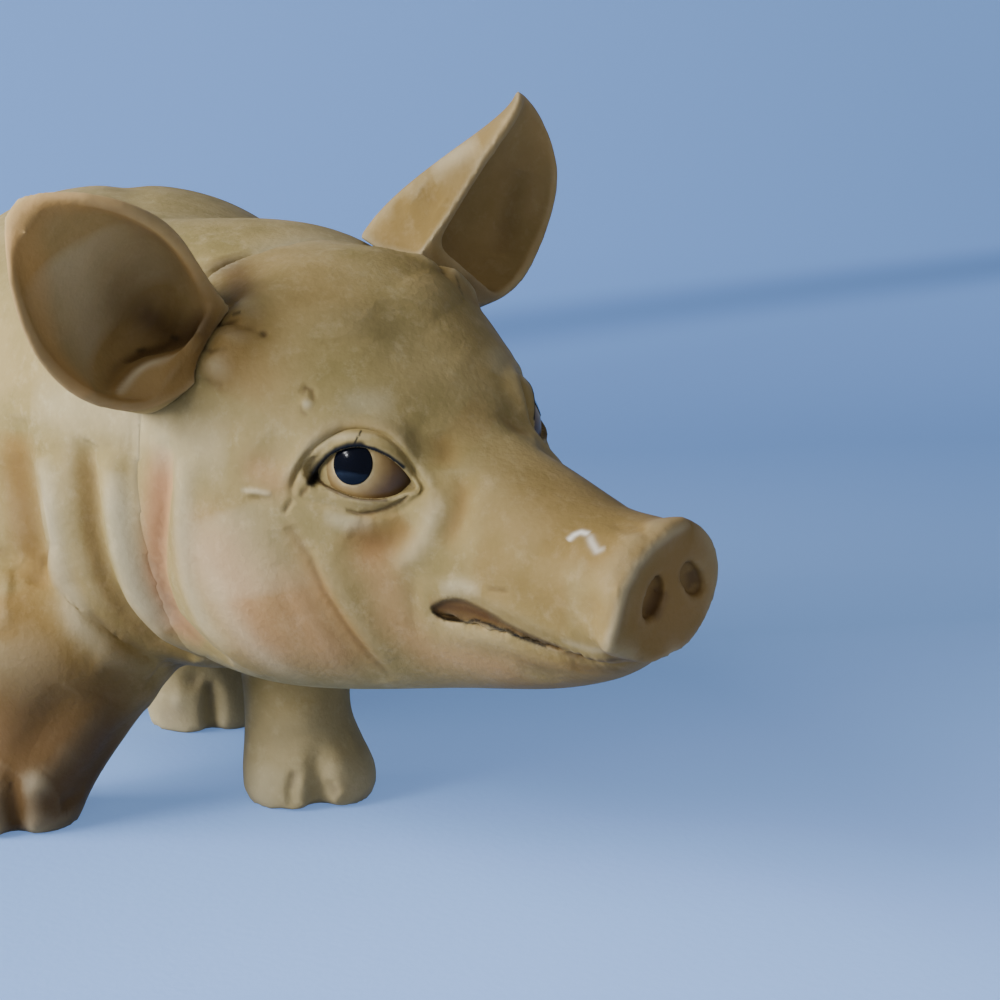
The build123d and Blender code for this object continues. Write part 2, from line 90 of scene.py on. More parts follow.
def to_head(points):
    return (np.asarray(points, float) - feet - SNOUT) @ HEAD_AXES.T


print("feet frame starts at", feet, "snout at", from_head((0, 0, 0)))

# %% [markdown]
# The camera stands low and close in front of the pig, a little to its right. It also helps to
# place marks: a mark is given where it is seen in the square picture of 1000 by 1000, and a ray
# finds the place on the skin below it.

# %% Camera
CAMERA_AT = np.array([206.3, -17.1, 70.7])  # millimetres in the feet frame
CAMERA_WAY = np.array([-0.9640, 0.2659, 0.0])
CAMERA_PITCH = radians(9)  # how far it looks down
FOCAL_PIXELS = 1813.0
PICTURE = 1000

camera_forward = np.array([*(CAMERA_WAY[:2] * cos(CAMERA_PITCH)), -sin(CAMERA_PITCH)])
camera_right = np.cross(camera_forward, (0, 0, 1))
camera_right /= np.linalg.norm(camera_right)
camera_up = np.cross(camera_right, camera_forward)
camera_place = feet + CAMERA_AT

camera_data = bpy.data.cameras.new("camera")
camera_data.sensor_width = 36
camera_data.lens = FOCAL_PIXELS * camera_data.sensor_width / PICTURE
camera_data.clip_start = 0.01
camera = bpy.data.objects.new("camera", camera_data)
bpy.context.scene.collection.objects.link(camera)
turn = Matrix([camera_right, camera_up, -camera_forward]).transposed().to_4x4()
camera.matrix_world = Matrix.Translation(Vector(camera_place * MM)) @ turn
bpy.context.scene.camera = camera
print("lens", round(camera_data.lens, 2), "mm")


def sight(x, y):
    """The direction in which the camera sees a pixel of the picture."""
    way = camera_forward + camera_right * (x - PICTURE / 2) / FOCAL_PIXELS
    way = way + camera_up * (PICTURE / 2 - y) / FOCAL_PIXELS
    return way / np.linalg.norm(way)


# %% [markdown]
# The castings were modelled in clay first. Here the clay is a copy of a solid's skin, made
# into small even faces by the Remesh modifier, because strokes need many points to move and
# the solid has large faces. Smoothing then takes the steps of the remesh away.

# %% Clay: a fine copy of a solid
SMOOTHING = 0.6  # how far a round moves each point towards the middle of its neighbours
SWELL_BACK = 0.95  # the round backward is a little weaker, so the form keeps its size


class Clay:
    """The skin of a casting, as places in millimetres that strokes move and brushes tint."""

    def __init__(self, name, node, grain, rounds, plugs=()):
        source = bmesh.new()
        source.from_mesh(nodes[node].data)
        bmesh.ops.remove_doubles(source, verts=source.verts, dist=1e-6)
        for middle, radius in plugs:
            place = Matrix.Translation(Vector(middle) * MM)
            bmesh.ops.create_uvsphere(source, u_segments=64, v_segments=48, radius=radius * MM, matrix=place)
        mesh = bpy.data.meshes.new(name)
        source.to_mesh(mesh)
        source.free()
        piece = bpy.data.objects.new(name, mesh)
        bpy.context.scene.collection.objects.link(piece)
        grid = piece.modifiers.new("grain", "REMESH")
        grid.mode = "VOXEL"
        grid.voxel_size = grain * MM
        bpy.context.view_layer.update()
        shown = piece.evaluated_get(bpy.context.evaluated_depsgraph_get())
        piece.data = bpy.data.meshes.new_from_object(shown)
        piece.data.name = name
        piece.modifiers.clear()
        bpy.data.meshes.remove(mesh)
        self.piece = piece
        self.tints = {}
        self.read()
        self.smooth(rounds)
        print(name, len(self.places), "points")

    def read(self):
        mesh = self.piece.data
        count = len(mesh.vertices)
        places = np.empty(count * 3)
        mesh.vertices.foreach_get("co", places)
        self.places = places.reshape(-1, 3) / MM
        edges = np.empty(len(mesh.edges) * 2, int)
        mesh.edges.foreach_get("vertices", edges)
        self.edges = edges.reshape(-1, 2)
        self.share = np.bincount(self.edges.ravel(), minlength=count).clip(1)[:, None]
        self.write()

    def write(self):
        """Puts the places back into the mesh and reads the new normals."""
        mesh = self.piece.data
        mesh.vertices.foreach_set("co", (self.places * MM).ravel())
        mesh.update()
        normals = np.empty(len(mesh.vertices) * 3)
        mesh.vertices.foreach_get("normal", normals)
        self.normals = normals.reshape(-1, 3)

    def around(self, values):
        """The mean of each point's neighbours."""
        first, second = self.edges.T
        total = np.zeros_like(values)
        for axis in range(values.shape[1]):
            total[:, axis] += np.bincount(first, values[second, axis], len(values))
            total[:, axis] += np.bincount(second, values[first, axis], len(values))
        return total / self.share

    def smooth(self, rounds, where=None, amount=SMOOTHING):
        """Evens the skin out; each round shrinks it, and a weaker backward round swells it again."""
        weight = amount if where is None else amount * where[:, None]
        for _ in range(rounds):
            self.places = self.places + weight * (self.around(self.places) - self.places)
            self.places = self.places - weight * SWELL_BACK * (self.around(self.places) - self.places)
        self.write()

    def soften(self, rounds, where, amount=0.5):
        """Rubs edges down, as a wet brush does with clay."""
        for _ in range(rounds):
            self.places = self.places + (amount * where)[:, None] * (self.around(self.places) - self.places)
        self.write()

    def tree(self):
        mesh = self.piece.data
        faces = [tuple(face.vertices) for face in mesh.polygons]
        return BVHTree.FromPolygons([Vector(place) for place in self.places], faces)

    def seen_at(self, pixels, tree=None):
        """The places on the skin that the camera sees at these pixels."""
        tree = tree or self.tree()
        found = []
        for x, y in pixels:
            hit = tree.ray_cast(Vector(camera_place), Vector(sight(x, y)))[0]
            if hit is not None:
                found.append(tuple(hit))
        return np.array(found)

    def finer(self, where, cuts=1):
        """Divides the faces whose points are marked, so that small strokes have points to move."""
        soft = bmesh.new()
        soft.from_mesh(self.piece.data)
        soft.verts.ensure_lookup_table()
        edges = [edge for edge in soft.edges if where[edge.verts[0].index] and where[edge.verts[1].index]]
        bmesh.ops.subdivide_edges(soft, edges=edges, cuts=cuts, use_grid_fill=True)
        soft.to_mesh(self.piece.data)
        soft.free()
        self.read()


print("clay tools ready")

# %% [markdown]
# Two tools do most of the work. A stroke moves the skin along its normals, with a soft edge, as a
# loop tool or a thumb does. A wash adds to a tint that each point carries, and the paint reads
# it later as a thin coat. Both can fade towards the ends of a line, as a brush does.

# %% Strokes and dabs
def along(places, line):
    """How far each place is from a line of points, and how far along the line it is, from 0 to 1."""
    line = np.asarray(line, float)
    best = np.full(len(places), 1e9)
    share = np.zeros(len(places))
    lengths = np.linalg.norm(np.diff(line, axis=0), axis=1)
    total = lengths.sum()
    done = 0.0
    for start, end, length in zip(line[:-1], line[1:], lengths):
        way = (end - start) / max(length, 1e-9)
        reach = ((places - start) @ way).clip(0, length)
        gap = np.linalg.norm(places - start - reach[:, None] * way, axis=1)
        closer = gap < best
        best[closer] = gap[closer]
        share[closer] = (done + reach[closer]) / total
        done += length
    return best, share


def fade(share, ends):
    """1 along a stroke, falling to 0 over the given share at both of its ends."""
    if ends <= 0:
        return np.ones_like(share)
    return (np.minimum(share, 1 - share) / ends).clip(0, 1) ** 0.5


def stroke(clay, line, width, depth, ends=0.25, soft=2.0):
    """Presses a groove along a line, or raises a ridge where depth is below 0."""
    if len(line) < 2:
        return
    gap, share = along(clay.places, line)
    press = depth * np.exp(-((gap / width) ** soft)) * fade(share, ends)
    clay.places = clay.places - clay.normals * press[:, None]
    clay.write()


def dab(clay, points, radius, depth):
    """Presses round hollows, or raises round lumps where depth is below 0."""
    for point in np.atleast_2d(points):
        gap = np.linalg.norm(clay.places - point, axis=1)
        clay.places = clay.places - clay.normals * (depth * np.exp(-((gap / radius) ** 2)))[:, None]
    clay.write()


print("strokes ready")

# %% Washes and dry brush
def wash_and_shade(clay, tint, line, width, amount, ends=0.0, soft=2.0):
    """Brushes a tint along a line, or round one point."""
    layer = clay.tints.setdefault(tint, np.zeros(len(clay.places)))
    if len(line) == 0:
        return
    if len(line) == 1:
        gap, share = np.linalg.norm(clay.places - line[0], axis=1), np.full(len(clay.places), 0.5)
    else:
        gap, share = along(clay.places, line)
    coat = amount * np.exp(-((gap / width) ** soft)) * fade(share, ends)
    clay.tints[tint] = layer + coat - layer * coat if amount > 0 else (layer + coat).clip(0, 1)


def folds_and_edges(clay, reach, hollow_wash_and_shade, top_chalk_and_highlight):
    """Darkens the hollows with brown wash and painted shade, and lightens the tops with dry brush and painted
    highlights: both follow the form.
    """
    level = clay.places.copy()
    for _ in range(reach):
        level = level + 0.7 * (clay.around(level) - level)
    height = ((clay.places - level) * clay.normals).sum(axis=1)
    height = height / (np.std(height) + 1e-9)
    for tint, amount in (("wash_and_shade", hollow_wash_and_shade * (-height - 0.4)), ("chalk_and_highlight", top_chalk_and_highlight * (height - 0.4))):
        layer = clay.tints.setdefault(tint, np.zeros(len(clay.places)))
        coat = amount.clip(0, 0.6)
        clay.tints[tint] = layer + coat - layer * coat


def dry(clay):
    """Keeps the tints with the mesh, as one value for each point."""
    mesh = clay.piece.data
    for tint, layer in clay.tints.items():
        kept = mesh.attributes.get(tint) or mesh.attributes.new(tint, "FLOAT", "POINT")
        kept.data.foreach_set("value", layer.clip(0, 1).astype(np.float32))
    for face in mesh.polygons:
        face.use_smooth = True


def at_least(clay, tint, amount):
    """Brings a tint up to an amount wherever it is weaker."""
    clay.tints[tint] = np.maximum(clay.tints.get(tint, 0), amount)


print("washes ready")

# %% Places of marks
def other_side(clay, points, tree=None):
    """The same marks on the other side of the head, laid on its skin."""
    tree = tree or clay.tree()
    turned = to_head(points) * (1, -1, 1)
    return np.array([tuple(tree.find_nearest(Vector(place))[0]) for place in from_head(turned)])


def on_skin(clay, points, tree=None):
    """Places given in the feet frame, laid on the skin nearest to them."""
    tree = tree or clay.tree()
    return np.array([tuple(tree.find_nearest(Vector(feet + np.array(place)))[0]) for place in points])


def nearest_seen(pixels, trees):
    """The places that the camera sees at these pixels, on whichever skin is in front."""
    found = []
    for x, y in pixels:
        hits = [tree.ray_cast(Vector(camera_place), Vector(sight(x, y))) for tree in trees]
        hits = [hit for hit in hits if hit[0] is not None]
        if hits:
            found.append(tuple(min(hits, key=lambda hit: hit[3])[0]))
    return np.array(found)


print("places ready")

# %% Tables of marks and coats
LINES = {}  # the lines of the marks by their titles, because a wash often runs in a mark


def work(clay, marks, tree, mirrored=False):
    """Works a table of marks into the skin, and on the head also on its other side."""
    for title, pixels, width, depth, ends in marks:
        LINES[title] = pixels
        line = clay.seen_at(pixels, tree)
        if len(line) < len(pixels):
            print(clay.piece.name, title, "missed the skin at", len(pixels) - len(line), "marks")
        lines = [line]
        if mirrored and len(line):
            lines.append(other_side(clay, line, tree))
        for line in lines:
            if len(line) == 1:
                dab(clay, line, width, depth)
            else:
                stroke(clay, line, width, depth, ends)


def coat(clay, coats, tree, mirrored=False):
    """Paints a table of coats, given by places or by the title of a mark."""
    for tint, where, width, amount, ends in coats:
        line = clay.seen_at(LINES[where] if isinstance(where, str) else where, tree)
        wash_and_shade(clay, tint, line, width, amount, ends)
        if mirrored and len(line):
            wash_and_shade(clay, tint, other_side(clay, line, tree), width, amount, ends)


def step(value, low, high):
    """0 below low, 1 above high, and a smooth rise between them."""
    share = ((value - low) / (high - low)).clip(0, 1)
    return share * share * (3 - 2 * share)


print("tables ready")

# %% [markdown]
# The head casting. The lids, the folds round the eyes and the lips are pressed into its skin.
# The eyes are separate beads, as on the real ornament, so first their places are worked out.

# %% Eye places
EYE_RADIUS = 6.4
SOCKET_PLUG = 7.0
EYE_REACH = 14  # how far from the middle of an eye its lids go, in millimetres
eye_centres = {}
for side_name, side in (("right", -1), ("left", 1)):
    gaze = np.array([0.42, side * 0.82, 0.38])
    gaze /= np.linalg.norm(gaze)
    middle = np.array([-30.5, side * 12.6, 10.2]) - gaze * EYE_RADIUS
    eye_centres[side_name] = (from_head(middle), gaze @ HEAD_AXES)
print({name: centre.round(2) for name, (centre, gaze) in eye_centres.items()})

# %% [markdown]
# Lids and lips need sharper edges than a stroke gives. They are drawn as closed lines, in pixels
# of the picture, and the skin is pushed along the camera's line of sight by an amount that
# depends on how far inside or outside the line it lies. For the left side the head is turned over.

# %% Closed lines in the picture
def pixels_of(places):
    """Where the camera sees these places, in pixels of the picture."""
    away = places - camera_place
    depth = away @ camera_forward
    x = PICTURE / 2 + FOCAL_PIXELS * (away @ camera_right) / depth
    y = PICTURE / 2 - FOCAL_PIXELS * (away @ camera_up) / depth
    return np.stack([x, y], axis=1)


def turned_over(places, side_name):
    """Places of the head's left half moved to its right half, which the camera sees, or back."""
    return places if side_name == "right" else from_head(to_head(places) * (1, -1, 1))


def ways_of_sight(places, side_name):
    """The camera's way to each place; on the left side, the way turned over with the head."""
    way = turned_over(places, side_name) - camera_place
    way /= np.linalg.norm(way, axis=1)[:, None]
    return way if side_name == "right" else ((way @ HEAD_AXES.T) * (1, -1, 1)) @ HEAD_AXES


def even_ring(points, count):
    """The same closed line with evenly spaced, smoothly running points."""
    points = np.asarray(points, float)
    size = len(points)
    fine = []
    for index in range(size):
        before, first, second, after = (points[(index + shift) % size] for shift in (-1, 0, 1, 2))
        bend = 2 * before - 5 * first + 4 * second - after
        swing = 3 * first - before - 3 * second + after
        for part in range(12):
            t = part / 12
            fine.append((2 * first + (second - before) * t + bend * t**2 + swing * t**3) / 2)
    fine = np.array(fine + [fine[0]])
    walked = np.concatenate([[0], np.cumsum(np.linalg.norm(np.diff(fine, axis=0), axis=1))])
    stops = np.linspace(0, walked[-1], count, endpoint=False)
    return np.array([np.interp(stops, walked, fine[:, axis]) for axis in range(points.shape[1])]).T


def beyond(pixels, ring):
    """How many pixels each place is outside a closed line; below 0 it is inside."""
    gap = np.full(len(pixels), 1e9)
    inside = np.zeros(len(pixels), bool)
    for start, end in zip(ring, np.roll(ring, -1, axis=0)):
        way = end - start
        share = (((pixels - start) @ way) / (way @ way)).clip(0, 1)
        gap = np.minimum(gap, np.linalg.norm(pixels - start - share[:, None] * way, axis=1))
        rise = way[1] if abs(way[1]) > 1e-9 else 1e-9
        crosses = (start[1] > pixels[:, 1]) != (end[1] > pixels[:, 1])
        inside ^= crosses & (pixels[:, 0] < start[0] + (pixels[:, 1] - start[1]) / rise * way[0])
    return np.where(inside, -gap, gap)


print("closed lines ready")

# %% Head clay
# The plugs close the eye sockets, whose thin walls a grain of this size would tear.
HEAD_GRAIN = 0.45  # the size of a face of the clay, in millimetres
head = Clay("head", "head_casting", HEAD_GRAIN, 3, [(centre, SOCKET_PLUG) for centre, gaze in eye_centres.values()])

# %% Lines and marks of the head
# Closed lines of the near eye and the corner of the mouth, as the camera sees them
OPENING = even_ring(
    [(311, 483), (315, 472), (323, 461), (334, 452), (347, 447), (361, 446), (375, 450), (388, 456), (401, 466),
     (411, 478), (417, 489), (405, 493), (390, 498), (372, 500), (354, 498), (338, 492), (324, 486)], 120)
FOLD = even_ring(
    [(293, 497), (293, 484), (300, 467), (313, 449), (331, 436), (348, 430), (366, 430), (385, 436), (400, 449),
     (412, 468), (424, 490), (412, 503), (396, 512), (374, 516), (352, 513), (332, 507), (311, 503)], 120)
TROUGH = even_ring(
    [(430, 609), (437, 602), (448, 598), (463, 598), (478, 605), (494, 613), (508, 622), (528, 632), (548, 641),
     (570, 650), (561, 651), (539, 644), (522, 638), (506, 631), (489, 625), (472, 622), (458, 623), (444, 620)], 160)

# Marks of the head: title, places in the picture, width and depth in millimetres, and the share
# of the line that fades out at each end. A depth below 0 raises a ridge.
HEAD_MARKS = (
    ("jowl", [(232, 585)], 8.0, -0.55, 0),
    ("jowl front", [(262, 636)], 6.0, -0.35, 0),
    ("hollow of the cheek fold", [(284, 528), (297, 560), (315, 592), (338, 628), (362, 660),
     (385, 682)], 1.7, 0.45, 0.3),
    ("edge of the cheek fold", [(283, 520), (297, 537), (311, 559), (322, 587), (339, 614), (356, 639),
     (378, 664), (394, 678)], 0.6, 0.22, 0.3),
    ("roll before the cheek fold", [(318, 548), (334, 580), (352, 610), (372, 638), (394, 660)], 1.7, -0.38, 0.35),
    ("second cheek fold", [(276, 560), (284, 590), (300, 622), (322, 650)], 1.0, 0.16, 0.4),
    ("brow roll", [(296, 442), (314, 421), (338, 410), (366, 407), (394, 412), (418, 430)], 2.2, -0.42, 0.35),
    ("inner brow hollow", [(437, 432), (445, 450), (444, 470)], 1.6, 0.42, 0.4),
    ("nose root groove", [(459, 474), (462, 492), (460, 508), (453, 528), (443, 548)], 1.5, 0.5, 0.35),
    ("ridge beside the groove", [(434, 488), (437, 508), (428, 532), (414, 552), (396, 566)], 1.5, -0.42, 0.35),
    ("hollow under the eye", [(352, 530), (370, 542), (388, 540), (404, 526), (416, 510)], 2.1, 0.5, 0.35),
    ("soft roll under the lid", [(322, 515), (345, 524), (372, 524), (398, 514)], 1.2, -0.2, 0.4),
    ("crease into the cheek", [(416, 560), (412, 585), (414, 612), (420, 636)], 1.0, 0.22, 0.4),
    ("nose ridge", [(470, 450), (500, 500), (545, 545)], 3.0, -0.3, 0.4),
    ("upper lip roll", [(436, 592), (456, 587), (480, 594), (510, 610), (545, 628), (580, 642)], 1.1, -0.3, 0.3),
    ("lower lip roll", [(440, 632), (465, 636), (500, 642), (535, 656), (575, 668)], 1.4, -0.28, 0.3),
    ("under the lower lip", [(520, 668), (560, 680), (600, 684)], 1.4, 0.15, 0.4),
    ("crow's foot", [(246, 492), (258, 492), (272, 495)], 0.35, -0.22, 0.3),
    ("under the crow's foot", [(244, 497), (258, 498), (272, 500)], 0.4, 0.15, 0.3),
    ("corner crack", [(293, 499), (288, 506), (283, 514)], 0.3, 0.28, 0.3),
    ("scar bump", [(307, 404)], 0.75, -0.3, 0),
    ("scar edge", [(300, 394), (306, 387), (312, 391), (314, 402)], 0.35, 0.24, 0.3),
    ("scar foot", [(299, 402), (302, 412), (308, 416)], 0.35, 0.18, 0.3),
    ("pit", [(264, 335)], 0.5, 0.3, 0),
    ("scratch", [(455, 272), (459, 285), (463, 300)], 0.28, 0.22, 0.2),
    ("nick over the mouth", [(487, 589), (497, 590), (509, 592)], 0.28, 0.14, 0.2),
    ("temple dent", [(262, 440), (275, 455), (282, 470)], 2.4, 0.35, 0.4),
    ("forehead hollow", [(395, 300), (405, 340), (410, 375)], 4.0, 0.28, 0.4),
    ("forehead swell", [(330, 300), (345, 340)], 5.5, -0.35, 0.4),
    ("root crack", [(200, 322), (222, 326), (240, 320)], 0.4, 0.3, 0.3),
    ("second root crack", [(196, 345), (212, 352), (228, 349)], 0.4, 0.25, 0.3),
    ("top of the near ear's foot", [(234, 306), (246, 312), (252, 326)], 1.8, -0.6, 0.3),
    ("foot of the near ear", [(240, 328), (228, 352), (214, 382)], 2.2, -1.3, 0.25),
)
SINGLE = ("scar bump", "scar edge", "scar foot", "pit", "scratch", "nick over the mouth", "root crack",
          "second root crack")
FINE_MARKS = (*SINGLE, "edge of the cheek fold", "crow's foot", "under the crow's foot", "corner crack")
CHIP = [(568, 541), (574, 535), (581, 532), (589, 534), (592, 543), (597, 551), (606, 548)]
RIM_LINE = [(690, 523), (673, 532), (652, 549), (637, 567), (625, 590), (618, 617), (611, 638), (608, 653)]
MOUTH_LINE = [(430, 608), (450, 608), (480, 614), (510, 627), (548, 643), (590, 656), (620, 660), (648, 657)]
print("head marks", len(HEAD_MARKS))

# %% [markdown]
# Small marks need small faces, but small faces everywhere would make the mesh heavy. So the faces
# are divided only near fine marks, lids and lips, and round the eyes a second time.

# %% Finer clay where it is needed
def near_an_eye(places, side_name):
    """The places on the outside of the head, within reach of an eye and on the side that it faces."""
    centre, gaze = eye_centres[side_name]
    away = places - centre
    far = np.linalg.norm(away, axis=1)
    return (far < EYE_REACH) & (far > EYE_RADIUS + 0.2) & (away @ gaze > -1.0)


tree = head.tree()
places = head.places
wanted = np.zeros(len(places), bool)
for title, pixels, width, depth, ends in HEAD_MARKS:
    if title in FINE_MARKS:
        line = head.seen_at(pixels, tree)
        gap = along(places, line)[0] if len(line) > 1 else np.linalg.norm(places - line[0], axis=1)
        wanted |= gap < 1.3
wanted |= along(places, head.seen_at(CHIP, tree))[0] < 1.2
wanted |= along(places, head.seen_at(RIM_LINE, tree))[0] < 1.2
mouth_line = head.seen_at(MOUTH_LINE, tree)
for line in (mouth_line, other_side(head, mouth_line, tree)):
    wanted |= along(places, line)[0] < 2.2
for side_name in eye_centres:
    close = near_an_eye(places, side_name)
    wanted[close] |= beyond(pixels_of(turned_over(places[close], side_name)), FOLD) < 9
head.finer(wanted)
places = head.places
wanted = np.zeros(len(places), bool)
for side_name in eye_centres:
    close = near_an_eye(places, side_name)
    pixels = pixels_of(turned_over(places[close], side_name))
    wanted[close] |= (np.abs(beyond(pixels, OPENING)) < 8) | (np.abs(beyond(pixels, FOLD)) < 5)
head.finer(wanted)
print("head", len(head.places), "points", len(head.piece.data.polygons), "faces")

# %% [markdown]
# The mouth of the solid is an even gap between the lips. The real one gapes only at its corner,
# where it is a shallow brown trough over a dark crack, and further on the lips almost meet. The
# skin above and below the gap is moved towards it or away from it, by an amount that depends on
# the place along the lips, and the corner is then pressed in.

# %% Lips
MOUTH_CORNER = np.array([-23.4, 0.0, -4.6])
LIPS_RUN, LIPS_FALL = 26.0, 2.7  # from the corner forward to the chin, and down
lips_way = np.array([LIPS_RUN, 0.0, -LIPS_FALL]) / np.hypot(LIPS_RUN, LIPS_FALL)
lips_up = np.array([LIPS_FALL, 0.0, LIPS_RUN]) / np.hypot(LIPS_RUN, LIPS_FALL)
local = to_head(head.places) - MOUTH_CORNER
reach, lift = local @ lips_way, local @ lips_up
outside = (np.abs(local[:, 1]) > 3.5) | (reach > 18)
ragged = 0.07 * np.sin(reach * 5.1 + 1.0) + 0.05 * np.sin(reach * 11.7) + 0.03 * np.sin(reach * 23.0)
close_by = np.interp(reach, [-3, 0, 3, 7, 10, 22, 27], [0.0, 0.05, 0.16, 0.28, 0.33, 0.33, 0.30])
lower_by = np.interp(reach, [-3, 0, 2, 6, 10, 14], [0.0, 0.15, 0.45, 0.4, 0.1, 0.0])
nearness = 1 - step(np.abs(lift), 0.5, 3.2)
within = outside & (reach > -3) & (np.abs(lift) < 3.2)
closed_lift = np.sign(lift) * np.maximum(np.abs(lift) - close_by * nearness, np.minimum(np.abs(lift), 0.08))
moved = (closed_lift - lift + (ragged * step(reach, 2, 6) - lower_by) * nearness) * within
head.places = head.places + moved[:, None] * (lips_up @ HEAD_AXES)
head.write()
head.smooth(4, (within & (np.abs(lift) < 1.6)).astype(float), 0.5)
print("gap moved by up to", round(float(np.abs(moved).max()), 2), "mm")

# %% Trough at the corner of the mouth
TROUGH_DEPTH = 0.75
for side_name in eye_centres:
    pixels = pixels_of(turned_over(head.places, side_name))
    side = 1 if side_name == "left" else -1
    local = to_head(head.places)
    skin = (local[:, 1] * side > 2) & (local[:, 0] > -27) & (np.abs(local[:, 2] + 5) < 4)
    inside = beyond(pixels[skin], TROUGH)
    press = TROUGH_DEPTH * (1 - step(inside, -5.0, 1.0))
    ways = ways_of_sight(head.places[skin], side_name)
    head.places[skin] += ways * press[:, None]
    print(side_name, "trough pressed at", int((press > 0.1).sum()), "points")
head.write()

# %% [markdown]
# The lids. The skin inside the opening is pushed back along the line of sight until it lies
# behind the bead, which then shows through the opening. The edge of the opening is left a little
# proud as the lid's rim, and a groove runs along the fold above it.

# %% Lids
LID_THICKNESS = 0.95
RIM_PROUD, FOLD_DEPTH, FOLD_ROLL, POUCH_DEPTH = 0.16, 0.42, 0.22, 0.20
for side_name in eye_centres:
    close = near_an_eye(head.places, side_name)
    skin = head.places[close]
    pixels = pixels_of(turned_over(skin, side_name))
    opening, fold = beyond(pixels, OPENING), beyond(pixels, FOLD)
    upper = 1 - step(pixels[:, 1] - (pixels[:, 0] - 300) * 0.06, 478, 492)
    push = LID_THICKNESS * (1 - step(opening, -2.2, 0.2))
    # Only the near lid has the proud rim: on the far one it would break the outline of the brow.
    push -= RIM_PROUD * np.exp(-(((opening - 3.5) / 3.5) ** 2)) * step(opening, -0.5, 0.5) * (side_name == "right")
    push += FOLD_DEPTH * upper * np.exp(-((fold / 3.0) ** 2))
    push -= FOLD_ROLL * upper * np.exp(-(((fold - 8) / 6.0) ** 2))
    push += POUCH_DEPTH * (1 - upper) * np.exp(-(((fold + 1) / 4.0) ** 2))
    head.places[close] += ways_of_sight(skin, side_name) * push[:, None]
    print(side_name, "lids pressed at", int((np.abs(push) > 0.1).sum()), "points")
head.write()
LID_MARKS = (
    ("groove under the lid", [(346, 510), (358, 514), (372, 513), (386, 509), (399, 503),
     (410, 495)], 0.22, 0.30, 0.15),
    ("rear corner", [(311, 483), (305, 490), (300, 494)], 0.35, 0.25, 0.2),
    ("front corner", [(417, 489), (423, 493)], 0.3, 0.2, 0.2),
)
tree = head.tree()
work(head, LID_MARKS, tree, mirrored=True)
print("lid marks", len(LID_MARKS))

# %% [markdown]
# The snout is a round pad. The paint leaves the nostrils shallow, so their floors are raised. The
# rim is softer at the top than in the solid, and low on the near side it is drawn out into a
# ridge that runs down into the lip.

# %% Snout
PAD_HALF_WIDTH, PAD_HALF_HEIGHT = 7.7, 6.9
NOSTRIL_TOP, NOSTRIL_SHARE = -0.55, 0.25  # below this level a quarter of the depth is kept
local = to_head(head.places)
spread = np.hypot(local[:, 1] / PAD_HALF_WIDTH, local[:, 2] / PAD_HALF_HEIGHT)
bearing = np.degrees(np.arctan2(local[:, 2], local[:, 1]))
shallow = (spread < 0.85) & (local[:, 0] < NOSTRIL_TOP) & (local[:, 0] > -3.2)
raised = NOSTRIL_TOP + NOSTRIL_SHARE * (local[:, 0] - NOSTRIL_TOP) - local[:, 0]
head.places += np.where(shallow, raised, 0)[:, None] * HEAD_AXES[0]
head.soften(3, (shallow | ((spread < 0.8) & (local[:, 0] > -1.2))).astype(float), 0.5)
local = to_head(head.places)
rim = (local[:, 0] > -5.0) & (spread > 0.62)
top_left = np.exp(-(((bearing - 112) / 52) ** 2)) * rim
head.soften(34, top_left, 0.6)
RIDGE_AT, RIDGE_WAY, RIDGE_PULL = (-1.0, -7.2, -3.2), np.array([0.1, -0.93, -0.36]), 1.25
corner_gap = np.linalg.norm(local - RIDGE_AT, axis=1)
pull = RIDGE_PULL * np.exp(-((corner_gap / 2.4) ** 2))
head.places = head.places + pull[:, None] * (RIDGE_WAY @ HEAD_AXES)
head.write()
print("snout rim softened at", int((top_left > 0.3).sum()), "points")

# %% [markdown]
# Folds and marks of the head. Each is worked in on the side that the camera sees, and most of
# them also on the other side, because a modeller keeps a face alike on both sides. Scars,
# cracks and nicks are single.

# %% Neck rim and head strokes
# The rim at the neck runs a little way over the body casting, so that the seam lies in the fold.
RIM_LAP, RIM_LIFT = 2.2, 0.08
back = -to_head(head.places)[:, 0]
radial = 1 - np.abs(head.normals @ HEAD_AXES[0])
lift = RIM_LIFT * radial * step(back, 50.0, 53.5)
lap = RIM_LAP * step(back, 52.6, 54.6)
head.places += head.normals * lift[:, None] - HEAD_AXES[0] * lap[:, None]
head.write()
tree = head.tree()
work(head, [mark for mark in HEAD_MARKS if mark[0] not in SINGLE], tree, mirrored=True)
work(head, [mark for mark in HEAD_MARKS if mark[0] in SINGLE], tree)
DISC_MARKS = (
    ("wrinkle on the snout", [(634, 522), (642, 530), (652, 534)], 0.7, 0.2, 0.3),
    ("second wrinkle", [(612, 520), (622, 527), (634, 532)], 0.7, 0.14, 0.3),
    ("rim ridge", RIM_LINE, 0.7, -0.28, 0.15),
    ("hollow behind the rim", [(660, 527), (640, 541), (622, 562), (610, 588), (602, 615),
     (598, 640)], 1.3, 0.22, 0.25),
    ("disc hollow", [(672, 592)], 3.2, 0.3, 0),
)
work(head, DISC_MARKS, tree)
print("marks worked in", len(HEAD_MARKS) + len(DISC_MARKS))
